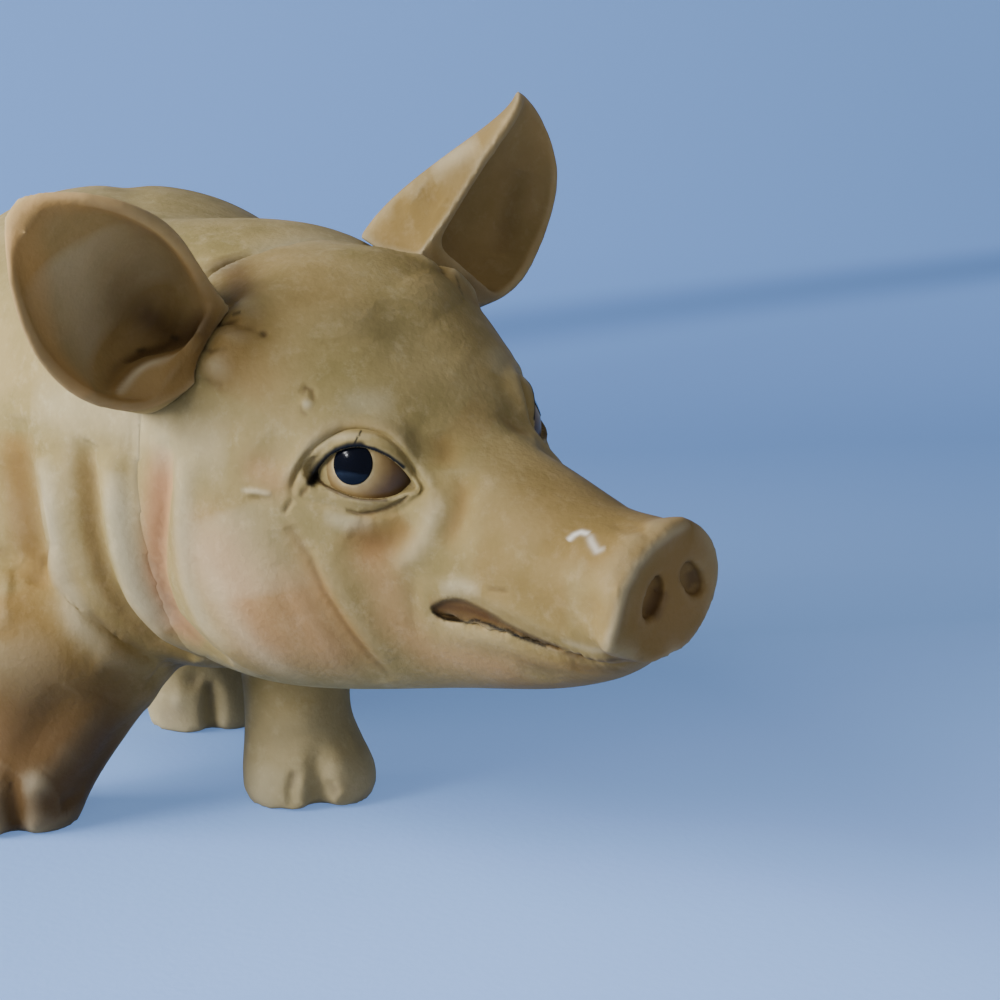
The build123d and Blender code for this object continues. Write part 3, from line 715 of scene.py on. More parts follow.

# %% [markdown]
# The paint of the head. A rosy coat lies on the cheeks and jowls, brown wash stays in the folds,
# the mouth and the nostrils, and the lash line is drawn in black with a fine brush. The brown in
# the folds and grooves is also painted shade, and pale coats on the brow, lids, cheeks and ridges
# are painted highlights.

# %% Coats of both sides of the head
# Each coat: tint, places or the title of a mark, width in millimetres, strength, and fading ends
HEAD_COATS = (
    ("blush", [(215, 560), (240, 600), (262, 640)], 5.0, 0.55, 0),
    ("blush", [(300, 600), (330, 650)], 3.6, 0.45, 0),
    ("blush", [(395, 620), (430, 655), (500, 668)], 2.6, 0.35, 0),
    ("blush", [(258, 470), (275, 480)], 1.8, 0.35, 0),
    ("blush", [(372, 560), (385, 585)], 2.4, 0.35, 0),
    # Painted shade: the brown coats from here to the mouth darken the hollow under the eye, the brow's inner end, the
    # groove by the nose, the cheek fold, the front of the chin, the foot of the near ear and the fold over the lid.
    ("tan_and_shade", [(350, 522), (372, 540), (392, 540), (410, 520)], 2.3, 1.0, 0.15),
    ("wash_and_shade", [(362, 534), (380, 543), (396, 534)], 1.3, 0.22, 0.3),
    ("tan_and_shade", [(438, 432), (446, 452), (444, 470)], 1.5, 0.55, 0.3),
    ("tan_and_shade", [(460, 474), (463, 494), (460, 512), (452, 532), (442, 548)], 1.2, 0.7, 0.3),
    ("tan_and_shade", [(283, 522), (297, 545), (312, 570), (326, 595), (345, 622), (362, 645), (385, 672)], 1.1, 0.6, 0.2),
    ("tan_and_shade", [(500, 655), (560, 668), (610, 672), (640, 664)], 1.8, 0.75, 0.2),
    ("tan_and_shade", [(230, 320), (246, 345), (250, 375), (236, 400)], 4.5, 0.6, 0.2),
    ("tan_and_shade", [(300, 455), (314, 440), (334, 428), (362, 424), (390, 430), (408, 446)], 0.8, 0.4, 0.3),
    ("wash_and_shade", "edge of the cheek fold", 0.5, 0.3, 0.2),
    ("tan_and_shade", [(433, 609), (450, 606), (470, 610), (490, 618)], 1.2, 1.0, 0.05),
    ("wash_and_shade", [(432, 610), (448, 607), (466, 609), (484, 616), (502, 624)], 0.8, 0.95, 0.05),
    ("soot", [(433, 613), (446, 619), (460, 621), (474, 620), (490, 625), (508, 632), (526, 640),
     (545, 646)], 0.16, 0.75, 0.05),
    ("wash_and_shade", [(500, 622), (524, 635), (548, 645), (580, 656), (612, 660), (645, 657)], 0.45, 0.75, 0.05),
    # Painted shade under the lower lip, in the groove under the lid, at the eye's rear corner and in the cracks and
    # creases by the eye.
    ("wash_and_shade", [(560, 662), (600, 670), (636, 667)], 1.3, 0.42, 0.2),
    ("wash_and_shade", "groove under the lid", 0.25, 0.62, 0.1),
    ("wash_and_shade", [(311, 484), (305, 491), (299, 496)], 0.3, 0.6, 0.2),
    ("wash_and_shade", "corner crack", 0.18, 0.5, 0.2),
    ("wash_and_shade", [(246, 497), (262, 498)], 0.22, 0.3, 0.2),
    # Painted highlights: the pale coats below light the crow's foot, the lids, the brow, the ridge by the nose groove,
    # the lips, the jowl's edge and the cheek.
    ("chalk_and_highlight", [(240, 490), (256, 491), (272, 494)], 0.28, 0.6, 0.2),
    ("chalk_and_highlight", [(300, 460), (312, 445), (330, 438), (350, 436), (372, 437)], 0.5, 0.42, 0.3),
    ("chalk_and_highlight", [(340, 405), (372, 402), (398, 408)], 1.6, 0.35, 0.3),
    ("chalk_and_highlight", [(432, 495), (432, 515), (422, 538), (406, 556), (390, 567)], 1.3, 0.28, 0.3),
    ("chalk_and_highlight", [(322, 515), (345, 522), (372, 524)], 0.9, 0.45, 0.3),
    ("chalk_and_highlight", [(438, 590), (458, 584), (482, 592)], 0.8, 0.5, 0.3),
    ("chalk_and_highlight", [(190, 520), (205, 560), (225, 610), (262, 655), (312, 684)], 2.0, 0.4, 0.3),
    ("chalk_and_highlight", [(222, 510), (238, 555), (252, 600)], 5.5, 0.34, 0.1),
    ("chalk_and_highlight", [(560, 640), (590, 650), (612, 655)], 0.5, 0.35, 0.2),
)
tree = head.tree()
coat(head, HEAD_COATS, tree, mirrored=True)
print("coats on both sides", len(HEAD_COATS))

# %% Single coats of the head
SINGLE_COATS = (
    ("wash_and_shade", [(302, 396), (306, 388), (312, 391), (314, 402)], 0.22, 0.55, 0.2),
    ("wash_and_shade", [(300, 404), (302, 412), (308, 416)], 0.22, 0.4, 0.2),
    ("chalk_and_highlight", "scar bump", 0.45, 0.6, 0),
    ("wash_and_shade", "pit", 0.4, 0.7, 0),
    ("soot", "scratch", 0.16, 0.55, 0.2),
    ("soot", [(262, 333)], 0.2, 0.5, 0),
    ("wash_and_shade", "nick over the mouth", 0.2, 0.35, 0.2),
    ("wash_and_shade", "root crack", 0.3, 0.6, 0.2),
    ("wash_and_shade", "second root crack", 0.3, 0.6, 0.2),
    ("soot", [(232, 315), (241, 312)], 0.25, 0.6, 0.1),
    ("chip", CHIP[:4], 0.33, 0.9, 0.1),
    ("chip", CHIP[3:], 0.36, 0.55, 0.25),
    # Painted shade on the side of the nose, the crown and the right of the forehead.
    ("tan_and_shade", [(470, 560), (520, 580), (570, 600)], 6.0, 0.45, 0.1),
    ("wash_and_shade", [(480, 565), (530, 580), (580, 600)], 5.0, 0.14, 0.1),
    ("tan_and_shade", [(265, 255), (310, 290)], 6.5, 0.4, 0),
    ("tan_and_shade", [(460, 410), (490, 430)], 4.5, 0.35, 0.1),
    # Painted highlight along the snout's rim.
    ("chalk_and_highlight", RIM_LINE, 0.45, 0.55, 0.1),
    ("tan_and_shade", [(690, 540), (660, 580), (640, 620), (660, 640), (700, 600)], 3.4, 0.95, 0),
    ("tan_and_shade", [(672, 592)], 7.0, 0.9, 0),
    ("rust", [(672, 592)], 7.0, 0.22, 0),
    ("rust", [(660, 588), (654, 602), (650, 614)], 1.0, 0.35, 0.1),
    ("wash_and_shade", [(661, 588), (655, 601), (650, 616)], 1.0, 0.85, 0.1),
    ("wash_and_shade", [(657, 604), (653, 622)], 0.7, 0.4, 0.2),
    ("wash_and_shade", [(691, 569), (693, 586)], 0.95, 0.7, 0.1),
    # Painted shade in the hollow behind the rim and in the wrinkle above it.
    ("wash_and_shade", [(662, 536), (640, 556), (624, 582)], 0.6, 0.25, 0.2),
    ("wash_and_shade", [(636, 526), (648, 532)], 0.4, 0.35, 0.2),
)
coat(head, SINGLE_COATS, tree)
print("single coats", len(SINGLE_COATS))

# %% [markdown]
# Lash lines and the crack between the lips are drawn with a brush of a few hairs. Its lines have
# a hard edge, so they are drawn in pixels of the picture, as the lids were.

# %% Fine brush
LASH_LINE = [(311, 482), (314, 475), (320, 466), (328, 458), (337, 451), (348, 447), (360, 446)]
LASH_END = [(360, 446), (374, 449), (388, 456), (403, 467)]
LASH = [(353, 447), (356, 440), (361, 431)]
CRACK = [(433, 612), (444, 619), (456, 620), (466, 623), (475, 620), (489, 624), (499, 629), (508, 630),
         (520, 638), (531, 640), (545, 646)]
LOWER_LINE = [(317, 478), (328, 488), (345, 496), (365, 500), (386, 500)]


def brush(side_name, tint, line, width, amount, near=None):
    """A fine brush: its width is in pixels of the picture, and it stays near one eye or the lips."""
    near = near_an_eye(head.places, side_name) if near is None else near
    flat = np.zeros((int(near.sum()), 3))
    flat[:, :2] = pixels_of(turned_over(head.places[near], side_name))
    gap = along(flat, [(x, y, 0) for x, y in line])[0]
    layer = head.tints.setdefault(tint, np.zeros(len(head.places)))
    coat_of_paint = amount * np.exp(-((gap / width) ** 4))
    layer[near] = layer[near] + coat_of_paint - layer[near] * coat_of_paint


for side_name in eye_centres:
    brush(side_name, "soot", LASH_LINE, 5.6, 1.0)
    brush(side_name, "soot", LASH_END, 2.6, 1.0)
    brush(side_name, "wash_and_shade", LOWER_LINE, 2.0, 0.85)
    side = 1 if side_name == "left" else -1
    local = to_head(head.places)
    lips = (local[:, 1] * side > 1) & (local[:, 0] > -27) & (np.abs(local[:, 2] + 5) < 4.5)
    inside = beyond(pixels_of(turned_over(head.places[lips], side_name)), TROUGH)
    head.tints["wash_and_shade"][lips] = np.maximum(head.tints["wash_and_shade"][lips], 0.8 * (1 - step(inside, -3.0, 1.0)))
    brush(side_name, "soot", CRACK, 1.7, 0.8, lips)
brush("right", "soot", LASH, 1.1, 0.95)
print("soot on", int((head.tints["soot"] > 0.5).sum()), "points")

# %% Broad painted shade of the head
# Painted shade: darker on the snout, more on its top, and under the chin; a thin brown coat on the back of the far
# cheek
local = to_head(head.places)
snout = step(local[:, 0], -30.0, -12.0)
top = step(head.normals @ HEAD_AXES[2], 0.15, 0.75)
at_least(head, "tan_and_shade", snout * (0.22 + 0.25 * top))
at_least(head, "wash_and_shade", snout * (0.10 + 0.12 * top))
chin_shade = step(-head.normals @ HEAD_AXES[2], 0.35, 0.9) * step(local[:, 0], -34.0, -14.0)
at_least(head, "tan_and_shade", chin_shade)
at_least(head, "wash_and_shade", 0.34 * chin_shade)
far_side = step(local[:, 1], -1.0, 9.0) * step(local[:, 0], -55, -40)
at_least(head, "tan_and_shade", 0.3 * far_side)
folds_and_edges(head, 26, 0.20, 0.16)
print("head paint:", {tint: round(float(layer.mean()), 3) for tint, layer in head.tints.items()})

# %% [markdown]
# The body casting, with the neck folds, the chest and the four legs. It has softer forms than the
# head, so its grain is coarser, and only the skin near a mark is made finer. The neck folds cross
# the seam, so they are pressed into the head and the body alike.

# %% Marks of the neck and the body
NECK_MARKS = (
    ("first neck ridge", [(44, 455), (47, 483), (53, 536), (62, 583), (81, 624), (109, 652),
     (156, 670)], 2.2, -1.0, 0.2),
    ("brown neck fold", [(88, 440), (84, 460), (87, 500), (92, 540), (104, 582), (126, 617), (156, 642),
     (196, 661)], 1.8, 1.5, 0.15),
    ("second neck ridge", [(114, 450), (115, 511), (122, 555), (137, 599), (168, 634), (205, 656)], 1.6, -0.9, 0.2),
    ("pink neck fold", [(166, 440), (162, 486), (157, 530), (157, 574), (172, 615), (204, 645),
     (232, 664)], 1.5, 1.1, 0.15),
    ("edge of the jowl", [(186, 455), (182, 499), (182, 542), (188, 586), (204, 624), (232, 652),
     (268, 677)], 1.5, -0.55, 0.2),
)
BODY_MARKS = (
    ("shoulder hollow", [(19, 417), (20, 461), (31, 500), (40, 540), (30, 583)], 2.6, 0.9, 0.25),
    ("edge of the shoulder hollow", [(39, 474), (48, 510), (53, 542), (42, 565), (30, 583)], 0.7, 0.35, 0.2),
    ("shoulder roll", [(12, 570), (8, 600), (4, 630)], 1.2, -0.4, 0.3),
    ("shoulder crease", [(16, 565), (14, 590), (8, 612)], 0.8, 0.35, 0.3),
    ("chest edge", [(100, 668), (147, 677), (194, 681), (232, 668)], 1.6, 0.9, 0.25),
    ("chest roll", [(95, 655), (140, 664), (190, 668)], 2.2, -0.45, 0.3),
    ("leg fold", [(178, 700), (150, 722), (132, 742), (118, 770)], 1.2, -0.5, 0.3),
    ("leg hollow", [(150, 705), (120, 735), (96, 770), (60, 800)], 2.2, 0.6, 0.3),
    ("second leg fold", [(110, 700), (80, 740), (50, 775)], 2.4, -0.6, 0.3),
    ("third leg hollow", [(70, 690), (40, 730), (14, 770)], 2.2, 0.5, 0.3),
    ("knob", [(37, 783)], 2.0, -0.7, 0),
    ("step of skin", [(132, 742), (126, 754), (112, 766)], 0.9, -0.5, 0.3),
    ("ankle fold", [(60, 806), (85, 792), (104, 776)], 0.9, 0.4, 0.3),
    ("far leg ankle", [(250, 745), (285, 752), (320, 752), (352, 742)], 2.0, 0.5, 0.3),
    ("far leg front", [(300, 700), (300, 735)], 3.0, -0.4, 0.4),
    ("far toe crease", [(296, 768), (290, 790), (292, 808)], 0.7, 0.5, 0.2),
    ("far toe side", [(330, 780), (338, 795), (336, 806)], 0.7, 0.35, 0.2),
    ("far hoof knuckle", [(330, 765)], 2.0, -0.35, 0),
    ("nape", [(235, 204), (262, 210), (300, 217)], 3.0, -0.5, 0.3),
    ("dip behind the ear", [(228, 262), (238, 280), (240, 298)], 3.0, 0.9, 0.3),
)
print("neck and body marks", len(NECK_MARKS) + len(BODY_MARKS))

# %% Body clay
BODY_GRAIN = 0.8
body = Clay("body", "body_casting", BODY_GRAIN, 4)
# Under the head's rim the neck is pressed in a little, so that no edge of it shows through.
RIM_PRESS = 0.3
back = -to_head(body.places)[:, 0]
radial = 1 - np.abs(body.normals @ HEAD_AXES[0])
press = RIM_PRESS * (1 - step(back, 55.6, 57.4)) * radial
body.places -= body.normals * press[:, None]
body.write()
# The toes of the hooves, forward and left in the feet frame, are rubbed round.
TOES = ((0.6, 17.6), (0.6, -17.6), (-36.2, 9.0), (-52.2, -14.5))
for forward, left in TOES:
    gap = np.linalg.norm(body.places - feet - (forward - 1.5, left, 3.5), axis=1)
    body.soften(14, np.exp(-((gap / 4.0) ** 4)), 0.5)
tree = body.tree()
wanted = np.zeros(len(body.places), bool)
for title, pixels, width, depth, ends in BODY_MARKS + NECK_MARKS:
    line = body.seen_at(pixels, tree)
    if len(line) > 1:
        wanted |= along(body.places, line)[0] < max(1.8, width * 1.1)
body.finer(wanted)
tree = body.tree()
work(body, BODY_MARKS, tree)
both_trees = [head.tree(), tree]
for title, pixels, width, depth, ends in NECK_MARKS:
    line = nearest_seen(pixels, both_trees)
    for clay in (head, body):
        stroke(clay, line, width, depth, ends)
print("body", len(body.places), "points", len(body.piece.data.polygons), "faces")

# %% [markdown]
# A modeller also works the sides that the photograph doesn't show. These forms are low and broad.
# The camera can't place them, so their lines are given in the feet frame, in millimetres, and
# each is laid on the skin nearest to it. The last value says whether the other side has it too.

# %% Body forms away from the picture
SIDE_FORMS = (
    ("back groove", [(-20, 0, 76), (-40, 0, 76), (-60, 0, 72), (-74, 0, 62)], 2.6, 0.5, 0.3, False),
    ("shoulder blade", [(-10, 27, 62), (-18, 29, 50), (-22, 29, 38), (-18, 28, 26)], 3.2, 0.8, 0.3, True),
    ("shoulder swell", [(-6, 28, 44), (-10, 28, 32)], 5.0, -0.9, 0.4, True),
    ("flank fold", [(-50, 27, 52), (-48, 28, 40), (-44, 26, 28), (-38, 20, 18)], 2.6, 0.8, 0.3, True),
    ("haunch swell", [(-62, 24, 48), (-62, 24, 34)], 6.5, -1.0, 0.4, True),
    ("haunch crease", [(-74, 10, 40), (-74, 9, 28), (-70, 8, 18)], 2.0, 0.7, 0.3, True),
    ("belly roll", [(-26, 24, 24), (-36, 25, 21)], 3.0, -0.5, 0.4, True),
    ("rib dent", [(-32, 29, 56), (-34, 29, 44), (-34, 29, 34)], 3.4, 0.35, 0.4, True),
    ("far neck fold", [(0, 34, 56), (-3, 36, 46), (-2, 34, 34)], 1.6, 0.9, 0.25, False),
    ("far neck ridge", [(-4, 33, 58), (-7, 34, 46), (-5, 32, 32)], 1.8, -0.7, 0.25, False),
)
for title, line, width, depth, ends, both_sides in SIDE_FORMS:
    for side in (1, -1) if both_sides else (1,):
        laid = on_skin(body, [(x, y * side, z) for x, y, z in line], tree)
        stroke(body, laid, width, depth, ends)
print("side forms", len(SIDE_FORMS))

# %% [markdown]
# The paint of the body. Brown stays in the folds and between the shoulder and the neck, pink lies
# in the fold behind the jowl, and a chalky dry brush takes the tops of the folds. The brown in the
# folds is also painted shade, and the pale tops are also painted highlights. The chest and the
# front of the near leg are darker than the rest as painted shade, the underside and the near feet
# too, and the low far feet are paler as painted light.

# %% Coats of the neck and the body
NECK_COATS = (
    ("tan_and_shade", [(88, 445), (86, 470), (88, 505), (93, 545), (105, 585), (127, 618), (157, 643),
     (198, 662)], 1.7, 0.6, 0.1),
    ("wash_and_shade", [(86, 480), (90, 530), (103, 585), (127, 620), (157, 645), (190, 660)], 0.6, 0.2, 0.2),
    ("blush", [(166, 446), (162, 486), (157, 530), (157, 574), (172, 615), (204, 645)], 2.0, 0.85, 0.15),
    ("wash_and_shade", [(164, 500), (158, 540), (159, 580), (174, 616), (206, 646), (236, 667)], 0.6, 0.3, 0.15),
    # Painted highlights on the neck ridges, the jowl's edge and the top of the neck.
    ("chalk_and_highlight", [(44, 455), (47, 483), (53, 536), (62, 583), (81, 624), (109, 650)], 1.6, 0.6, 0.2),
    ("chalk_and_highlight", [(116, 470), (118, 511), (125, 555), (140, 599), (168, 630)], 1.5, 0.95, 0.2),
    ("chalk_and_highlight", [(186, 455), (182, 499), (182, 542), (188, 586), (204, 624), (232, 652)], 1.3, 0.5, 0.2),
    ("chalk_and_highlight", [(30, 400), (60, 405), (100, 412), (140, 425), (170, 440)], 2.8, 0.4, 0.2),
    ("chalk_and_highlight", [(150, 440), (190, 445), (230, 450)], 3.4, 0.35, 0.2),
    # Painted shade behind and under the near ear.
    ("wash_and_shade", [(220, 256), (234, 272), (240, 290), (232, 305)], 2.6, 0.75, 0.15),
    ("tan_and_shade", [(226, 300), (234, 330), (226, 360), (212, 388)], 2.2, 0.8, 0.1),
)
BODY_COATS = (
    # Painted shade: the brown coats darken the shoulder hollow, the chest, the near leg and its creases, and the
    # creases of the far toes.
    ("tan_and_shade", [(14, 430), (18, 470), (24, 510), (30, 545), (26, 590)], 3.6, 0.95, 0.1),
    ("wash_and_shade", [(14, 450), (22, 500), (28, 560)], 3.2, 0.26, 0.1),
    ("wash_and_shade", [(39, 474), (50, 515), (53, 542), (42, 565), (30, 583)], 0.5, 0.35, 0.2),
    ("wash_and_shade", [(100, 670), (147, 679), (194, 682), (232, 670)], 1.1, 0.3, 0.2),
    ("wash_and_shade", [(90, 760), (60, 790), (20, 800), (0, 790)], 4.5, 0.45, 0.1),
    ("wash_and_shade", [(100, 800), (60, 825), (20, 838)], 2.6, 0.7, 0.1),
    ("wash_and_shade", [(140, 735), (160, 720), (185, 705)], 2.0, 0.5, 0.2),
    ("tan_and_shade", [(5, 590), (30, 640), (60, 690)], 7.0, 0.85, 0.1),
    ("wash_and_shade", [(8, 610), (50, 680), (100, 720)], 7.0, 0.2, 0.1),
    ("wash_and_shade", [(10, 700), (60, 740), (90, 760)], 6.0, 0.35, 0.1),
    # Painted highlight on the knob.
    ("chalk_and_highlight", [(37, 783)], 1.4, 0.35, 0),
    ("wash_and_shade", [(296, 770), (290, 790), (292, 810)], 0.5, 0.5, 0.2),
    ("wash_and_shade", [(332, 782), (338, 800)], 0.5, 0.4, 0.2),
)
print("neck and body coats", len(NECK_COATS) + len(BODY_COATS))

# %% Body paint
tree = body.tree()
coat(body, BODY_COATS, tree)
both_trees = [head.tree(), tree]
for tint, pixels, width, amount, ends in NECK_COATS:
    line = nearest_seen(pixels, both_trees)
    for clay in (head, body):
        wash_and_shade(clay, tint, line, width, amount, ends)
forward, left, height = (body.places - feet).T
# Painted shade under the body.
under = step(-body.normals[:, 2], 0.3, 0.95)
at_least(body, "wash_and_shade", 0.45 * under)
# Painted shade: the front legs of the near side are darkened, most near the ground and on their front faces.
low = 1 - step(height, 0.5, 5.0)
faces_front = step(body.normals @ np.array([0.95, 0.1, -0.1]), -0.1, 0.6)
near_side_shade = (1 - step(left, -8.0, 2.0)) * step(forward, -22.0, -8.0) * (0.25 + 0.75 * faces_front)
at_least(body, "wash_and_shade", (0.02 + 0.95 * near_side_shade) * low)
leg_shade = (1 - step(height, 10.0, 32.0)) * (0.02 + 0.82 * near_side_shade)
at_least(body, "wash_and_shade", leg_shade)
at_least(body, "tan_and_shade", (0.1 + 0.7 * near_side_shade) * (1 - step(height, 12.0, 38.0)))
# Painted light: the low feet on the other side are paler.
at_least(body, "chalk_and_highlight", 0.35 * (1 - near_side_shade) * (1 - step(height, 4.0, 16.0)))
at_least(body, "blush", 0.25 * step(-forward, 60, 74) * (1 - under))
folds_and_edges(body, 22, 0.24, 0.18)
print("body paint:", {tint: round(float(layer.mean()), 3) for tint, layer in body.tints.items()})

# %% [markdown]
# The ears are thin cups. The rim is rounded, the hollow is washed with brown that also paints its
# shade, pale coats paint light inside the cup, and the back is pitted where the paint was dabbed on.

# %% Marks and lines of the ears
EAR_MARKS = {
    "right": (
        ("pocket", [(150, 320), (168, 342), (186, 345)], 3.0, 0.5, 0.3),
        ("lobe fold", [(124, 364), (144, 352), (172, 343), (200, 332)], 0.7, 0.3, 0.25),
        ("inner ridge", [(60, 240), (90, 275), (120, 320)], 2.2, -0.3, 0.4),
    ),
    "left": (
        ("back dent", [(420, 190), (440, 205)], 1.6, 0.3, 0.4),
        ("second back dent", [(400, 205)], 1.2, 0.25, 0),
        ("back ridge", [(370, 215), (410, 180), (460, 155)], 1.6, -0.25, 0.4),
        ("inner fold", [(520, 170), (505, 215), (495, 255)], 1.6, 0.35, 0.3),
    ),
}
LOBE = even_ring(
    [(108, 394), (115, 377), (128, 363), (144, 353), (162, 347), (180, 340), (197, 331), (210, 316), (240, 296),
     (262, 340), (240, 400), (180, 432), (120, 428)], 90)
WITHIN_RIM = even_ring(
    [(98, 380), (110, 352), (150, 326), (190, 312), (212, 312), (206, 324), (196, 345), (184, 366), (168, 388),
     (148, 403), (122, 408), (102, 400)], 90)
# The ways that the cups open to, in the head frame
HOLLOWS = {"right": np.array([0.62, -0.70, 0.36]), "left": np.array([0.62, 0.70, 0.36])}
print("ear marks", {side_name: len(marks) for side_name, marks in EAR_MARKS.items()})

# %% Ear clay
EAR_GRAIN = 0.27
LOBE_RISE, LOBE_MIDDLE, LOBE_PIXELS = 0.9, (168, 372), 30
ears = {}
for side_name, marks in EAR_MARKS.items():
    ear = Clay(f"ear_{side_name}_skin", f"ear_{side_name}", EAR_GRAIN, 5)
    ear.soften(6, np.ones(len(ear.places)), 0.5)
    hollow = HOLLOWS[side_name] @ HEAD_AXES
    ear.soften(70, step(ear.normals @ hollow, -0.15, 0.45), 0.5)
    if side_name == "right":
        # The lobe turns forward as a soft roll, and the hollow ends behind it. A sloping level through
        # three places on the rim says how near the camera the roll comes.
        tree = ear.tree()
        rim = ear.seen_at([(147, 402), (183, 366), (207, 320)], tree)
        pixels, far = pixels_of(ear.places), np.linalg.norm(ear.places - camera_place, axis=1)
        rim_rows = np.column_stack([pixels_of(rim), np.ones(len(rim))])
        rim_far = np.linalg.norm(rim - camera_place, axis=1)
        level = np.linalg.lstsq(rim_rows, rim_far, rcond=None)[0]
        wanted_far = np.column_stack([pixels, np.ones(len(pixels))]) @ level
        seen = (beyond(pixels, WITHIN_RIM) < 0) & (ear.normals @ -sight(170, 350) > -0.2)
        inside = beyond(pixels, LOBE)
        dome = LOBE_RISE * np.exp(-((np.linalg.norm(pixels - LOBE_MIDDLE, axis=1) / LOBE_PIXELS) ** 2))
        nearer = np.maximum(far - wanted_far - 0.35 + dome, 0) * (1 - step(inside, -9.0, 1.0)) * seen
        ways = (ear.places - camera_place) / far[:, None]
        ear.places = ear.places - ways * nearer[:, None]
        ear.write()
        worked = ((nearer > 0.05) | (np.abs(inside) < 12)) & (beyond(pixels, WITHIN_RIM) < 6)
        ear.soften(16, worked.astype(float), 0.5)
        print("lobe raised by up to", round(float(nearer.max()), 2), "mm at", int((nearer > 0.1).sum()), "points")
    work(ear, marks, ear.tree())
    ears[side_name] = ear

# %% Coats of the ears
EAR_RIM = [
    (205, 330), (212, 308), (185, 267), (155, 236), (110, 210), (60, 202), (30, 210), (14, 228), (12, 280), (25, 335),
    (50, 375), (90, 400), (130, 408), (165, 397), (192, 366)]
EAR_COATS = {"right": (
    ("rust", [(10, 225), (6, 270), (16, 320), (44, 368), (92, 398)], 3.2, 0.85, 0.05),
    ("rust", [(12, 215), (50, 198), (110, 206), (160, 236), (205, 292)], 2.6, 0.6, 0.1),
    # Painted shade: the brown coats in the pocket, under the lobe's fold, in the cup and below the ear.
    ("wash_and_shade", [(150, 318), (166, 332), (186, 330), (200, 322)], 1.8, 0.7, 0),
    ("wash_and_shade", [(124, 364), (145, 352), (172, 343), (205, 330)], 0.7, 0.75, 0.1),
    ("wash_and_shade", [(118, 300), (140, 322), (160, 335)], 3.0, 0.2, 0),
    ("soot", [(139, 351), (143, 350)], 0.3, 0.6, 0),
    ("soot", [(172, 337), (177, 339)], 0.35, 0.6, 0),
    ("wash_and_shade", [(195, 398), (214, 388), (226, 368)], 1.0, 0.4, 0.1),
    ("tan_and_shade", EAR_RIM, 1.5, 0.85, 0),
    ("wash_and_shade", EAR_RIM, 1.2, 0.12, 0),
    ("tan_and_shade", [(140, 388), (165, 376), (190, 355)], 3.0, 0.9, 0),
    ("wash_and_shade", [(140, 388), (165, 376), (190, 355)], 3.0, 0.16, 0),
    # Painted light: pale coats inside the cup, where the lamp doesn't reach.
    ("chalk_and_highlight", [(60, 250), (80, 300), (100, 350)], 4.5, 0.6, 0.1),
    ("chalk_and_highlight", [(90, 235), (130, 255), (160, 285)], 3.4, 0.3, 0.1),
), "left": (
    # Painted shade in the far ear's cup and at its foot.
    ("wash_and_shade", [(530, 160), (522, 210), (500, 262)], 3.6, 0.2, 0),
    ("wash_and_shade", [(470, 285), (492, 300)], 2.0, 0.5, 0),
    # Painted highlight on the far ear's back rim.
    ("chalk_and_highlight", [(390, 190), (430, 170), (480, 140)], 2.0, 0.45, 0.2),
)}
for side_name, ear in ears.items():
    coat(ear, EAR_COATS[side_name], ear.tree())
    # The inside of the cup, also where the camera doesn't see it
    inside = step(ear.normals @ (HOLLOWS[side_name] @ HEAD_AXES), -0.2, 0.3)
    at_least(ear, "rust", 0.4 * inside)
    if side_name == "left":
        at_least(ear, "tan_and_shade", 0.55 * (1 - inside))
        at_least(ear, "wash_and_shade", 0.2 * (1 - inside))
    folds_and_edges(ear, 30, 0.2, 0.2)
print("ears", {name: len(ear.places) for name, ear in ears.items()})

# %% [markdown]
# The tail is a plain curl, so a smoother skin, a wash with painted shade in its hollows and a dry brush with painted
# highlights on its tops are enough.

# %% Tail
TAIL_GRAIN = 0.3
tail = Clay("tail_skin", "tail", TAIL_GRAIN, 4)
folds_and_edges(tail, 12, 0.3, 0.2)
print("tail", len(tail.places))

# %% [markdown]
# Materials. All the castings are polyester resin, poured in a rubber mould and painted by hand
# with matt acrylics in thin coats. That gives a soft, dull gloss, a slightly chalky dry brush on
# the high places, and a brown wash that stays in the low ones.

# %% Colours and one helper for nodes
def linear(code):
    """An sRGB hex value as the linear colour that shaders use."""
    parts = [int(code[i : i + 2], 16) / 255 for i in (1, 3, 5)]
    return [p / 12.92 if p <= 0.04045 else ((p + 0.055) / 1.055) ** 2.4 for p in parts] + [1.0]


def add_node(tree, kind, inputs=None, **settings):
    """Adds a shader node with its settings; an input given as a socket is linked, another value is set."""
    node = tree.nodes.new("ShaderNode" + kind)
    for name, value in settings.items():
        setattr(node, name, value)
    for name, value in (inputs or {}).items():
        if isinstance(value, bpy.types.NodeSocket):
            tree.links.new(value, node.inputs[name])
        else:
            node.inputs[name].default_value = value
    return node


def new_material(name):
    material = bpy.data.materials.new(name)
    material.use_nodes = True
    material.node_tree.nodes.clear()
    return material, material.node_tree


print("mid grey is", round(linear("#808080")[0], 3), "in linear light")

# %% [markdown]
# The paint. Its ground is a yellowish beige, sponged with a deeper one in clouds of about 11 mm,
# which keeps the big smooth forms from looking like plastic. Pale specks of about 2 mm are the
# chalky bits of a dry sponge. The grain of real matt paint is too fine to show, so it is drawn as
# coarse as 0.7 mm, and the dull gloss varies with the clouds. The coats come on top of that:
# tan and rust are thin brown glazes that warm the ground, and tan also paints shade on the snout,
# the chin and the near leg; blush gives the skin its life; wash is the dark brown that stays in the
# folds and also paints shade in hollows and under the body; chalk is the dry brush that lifts the
# edges and also paints highlights; soot is the black of the lashes, and chip is the bare resin where
# paint is lost.

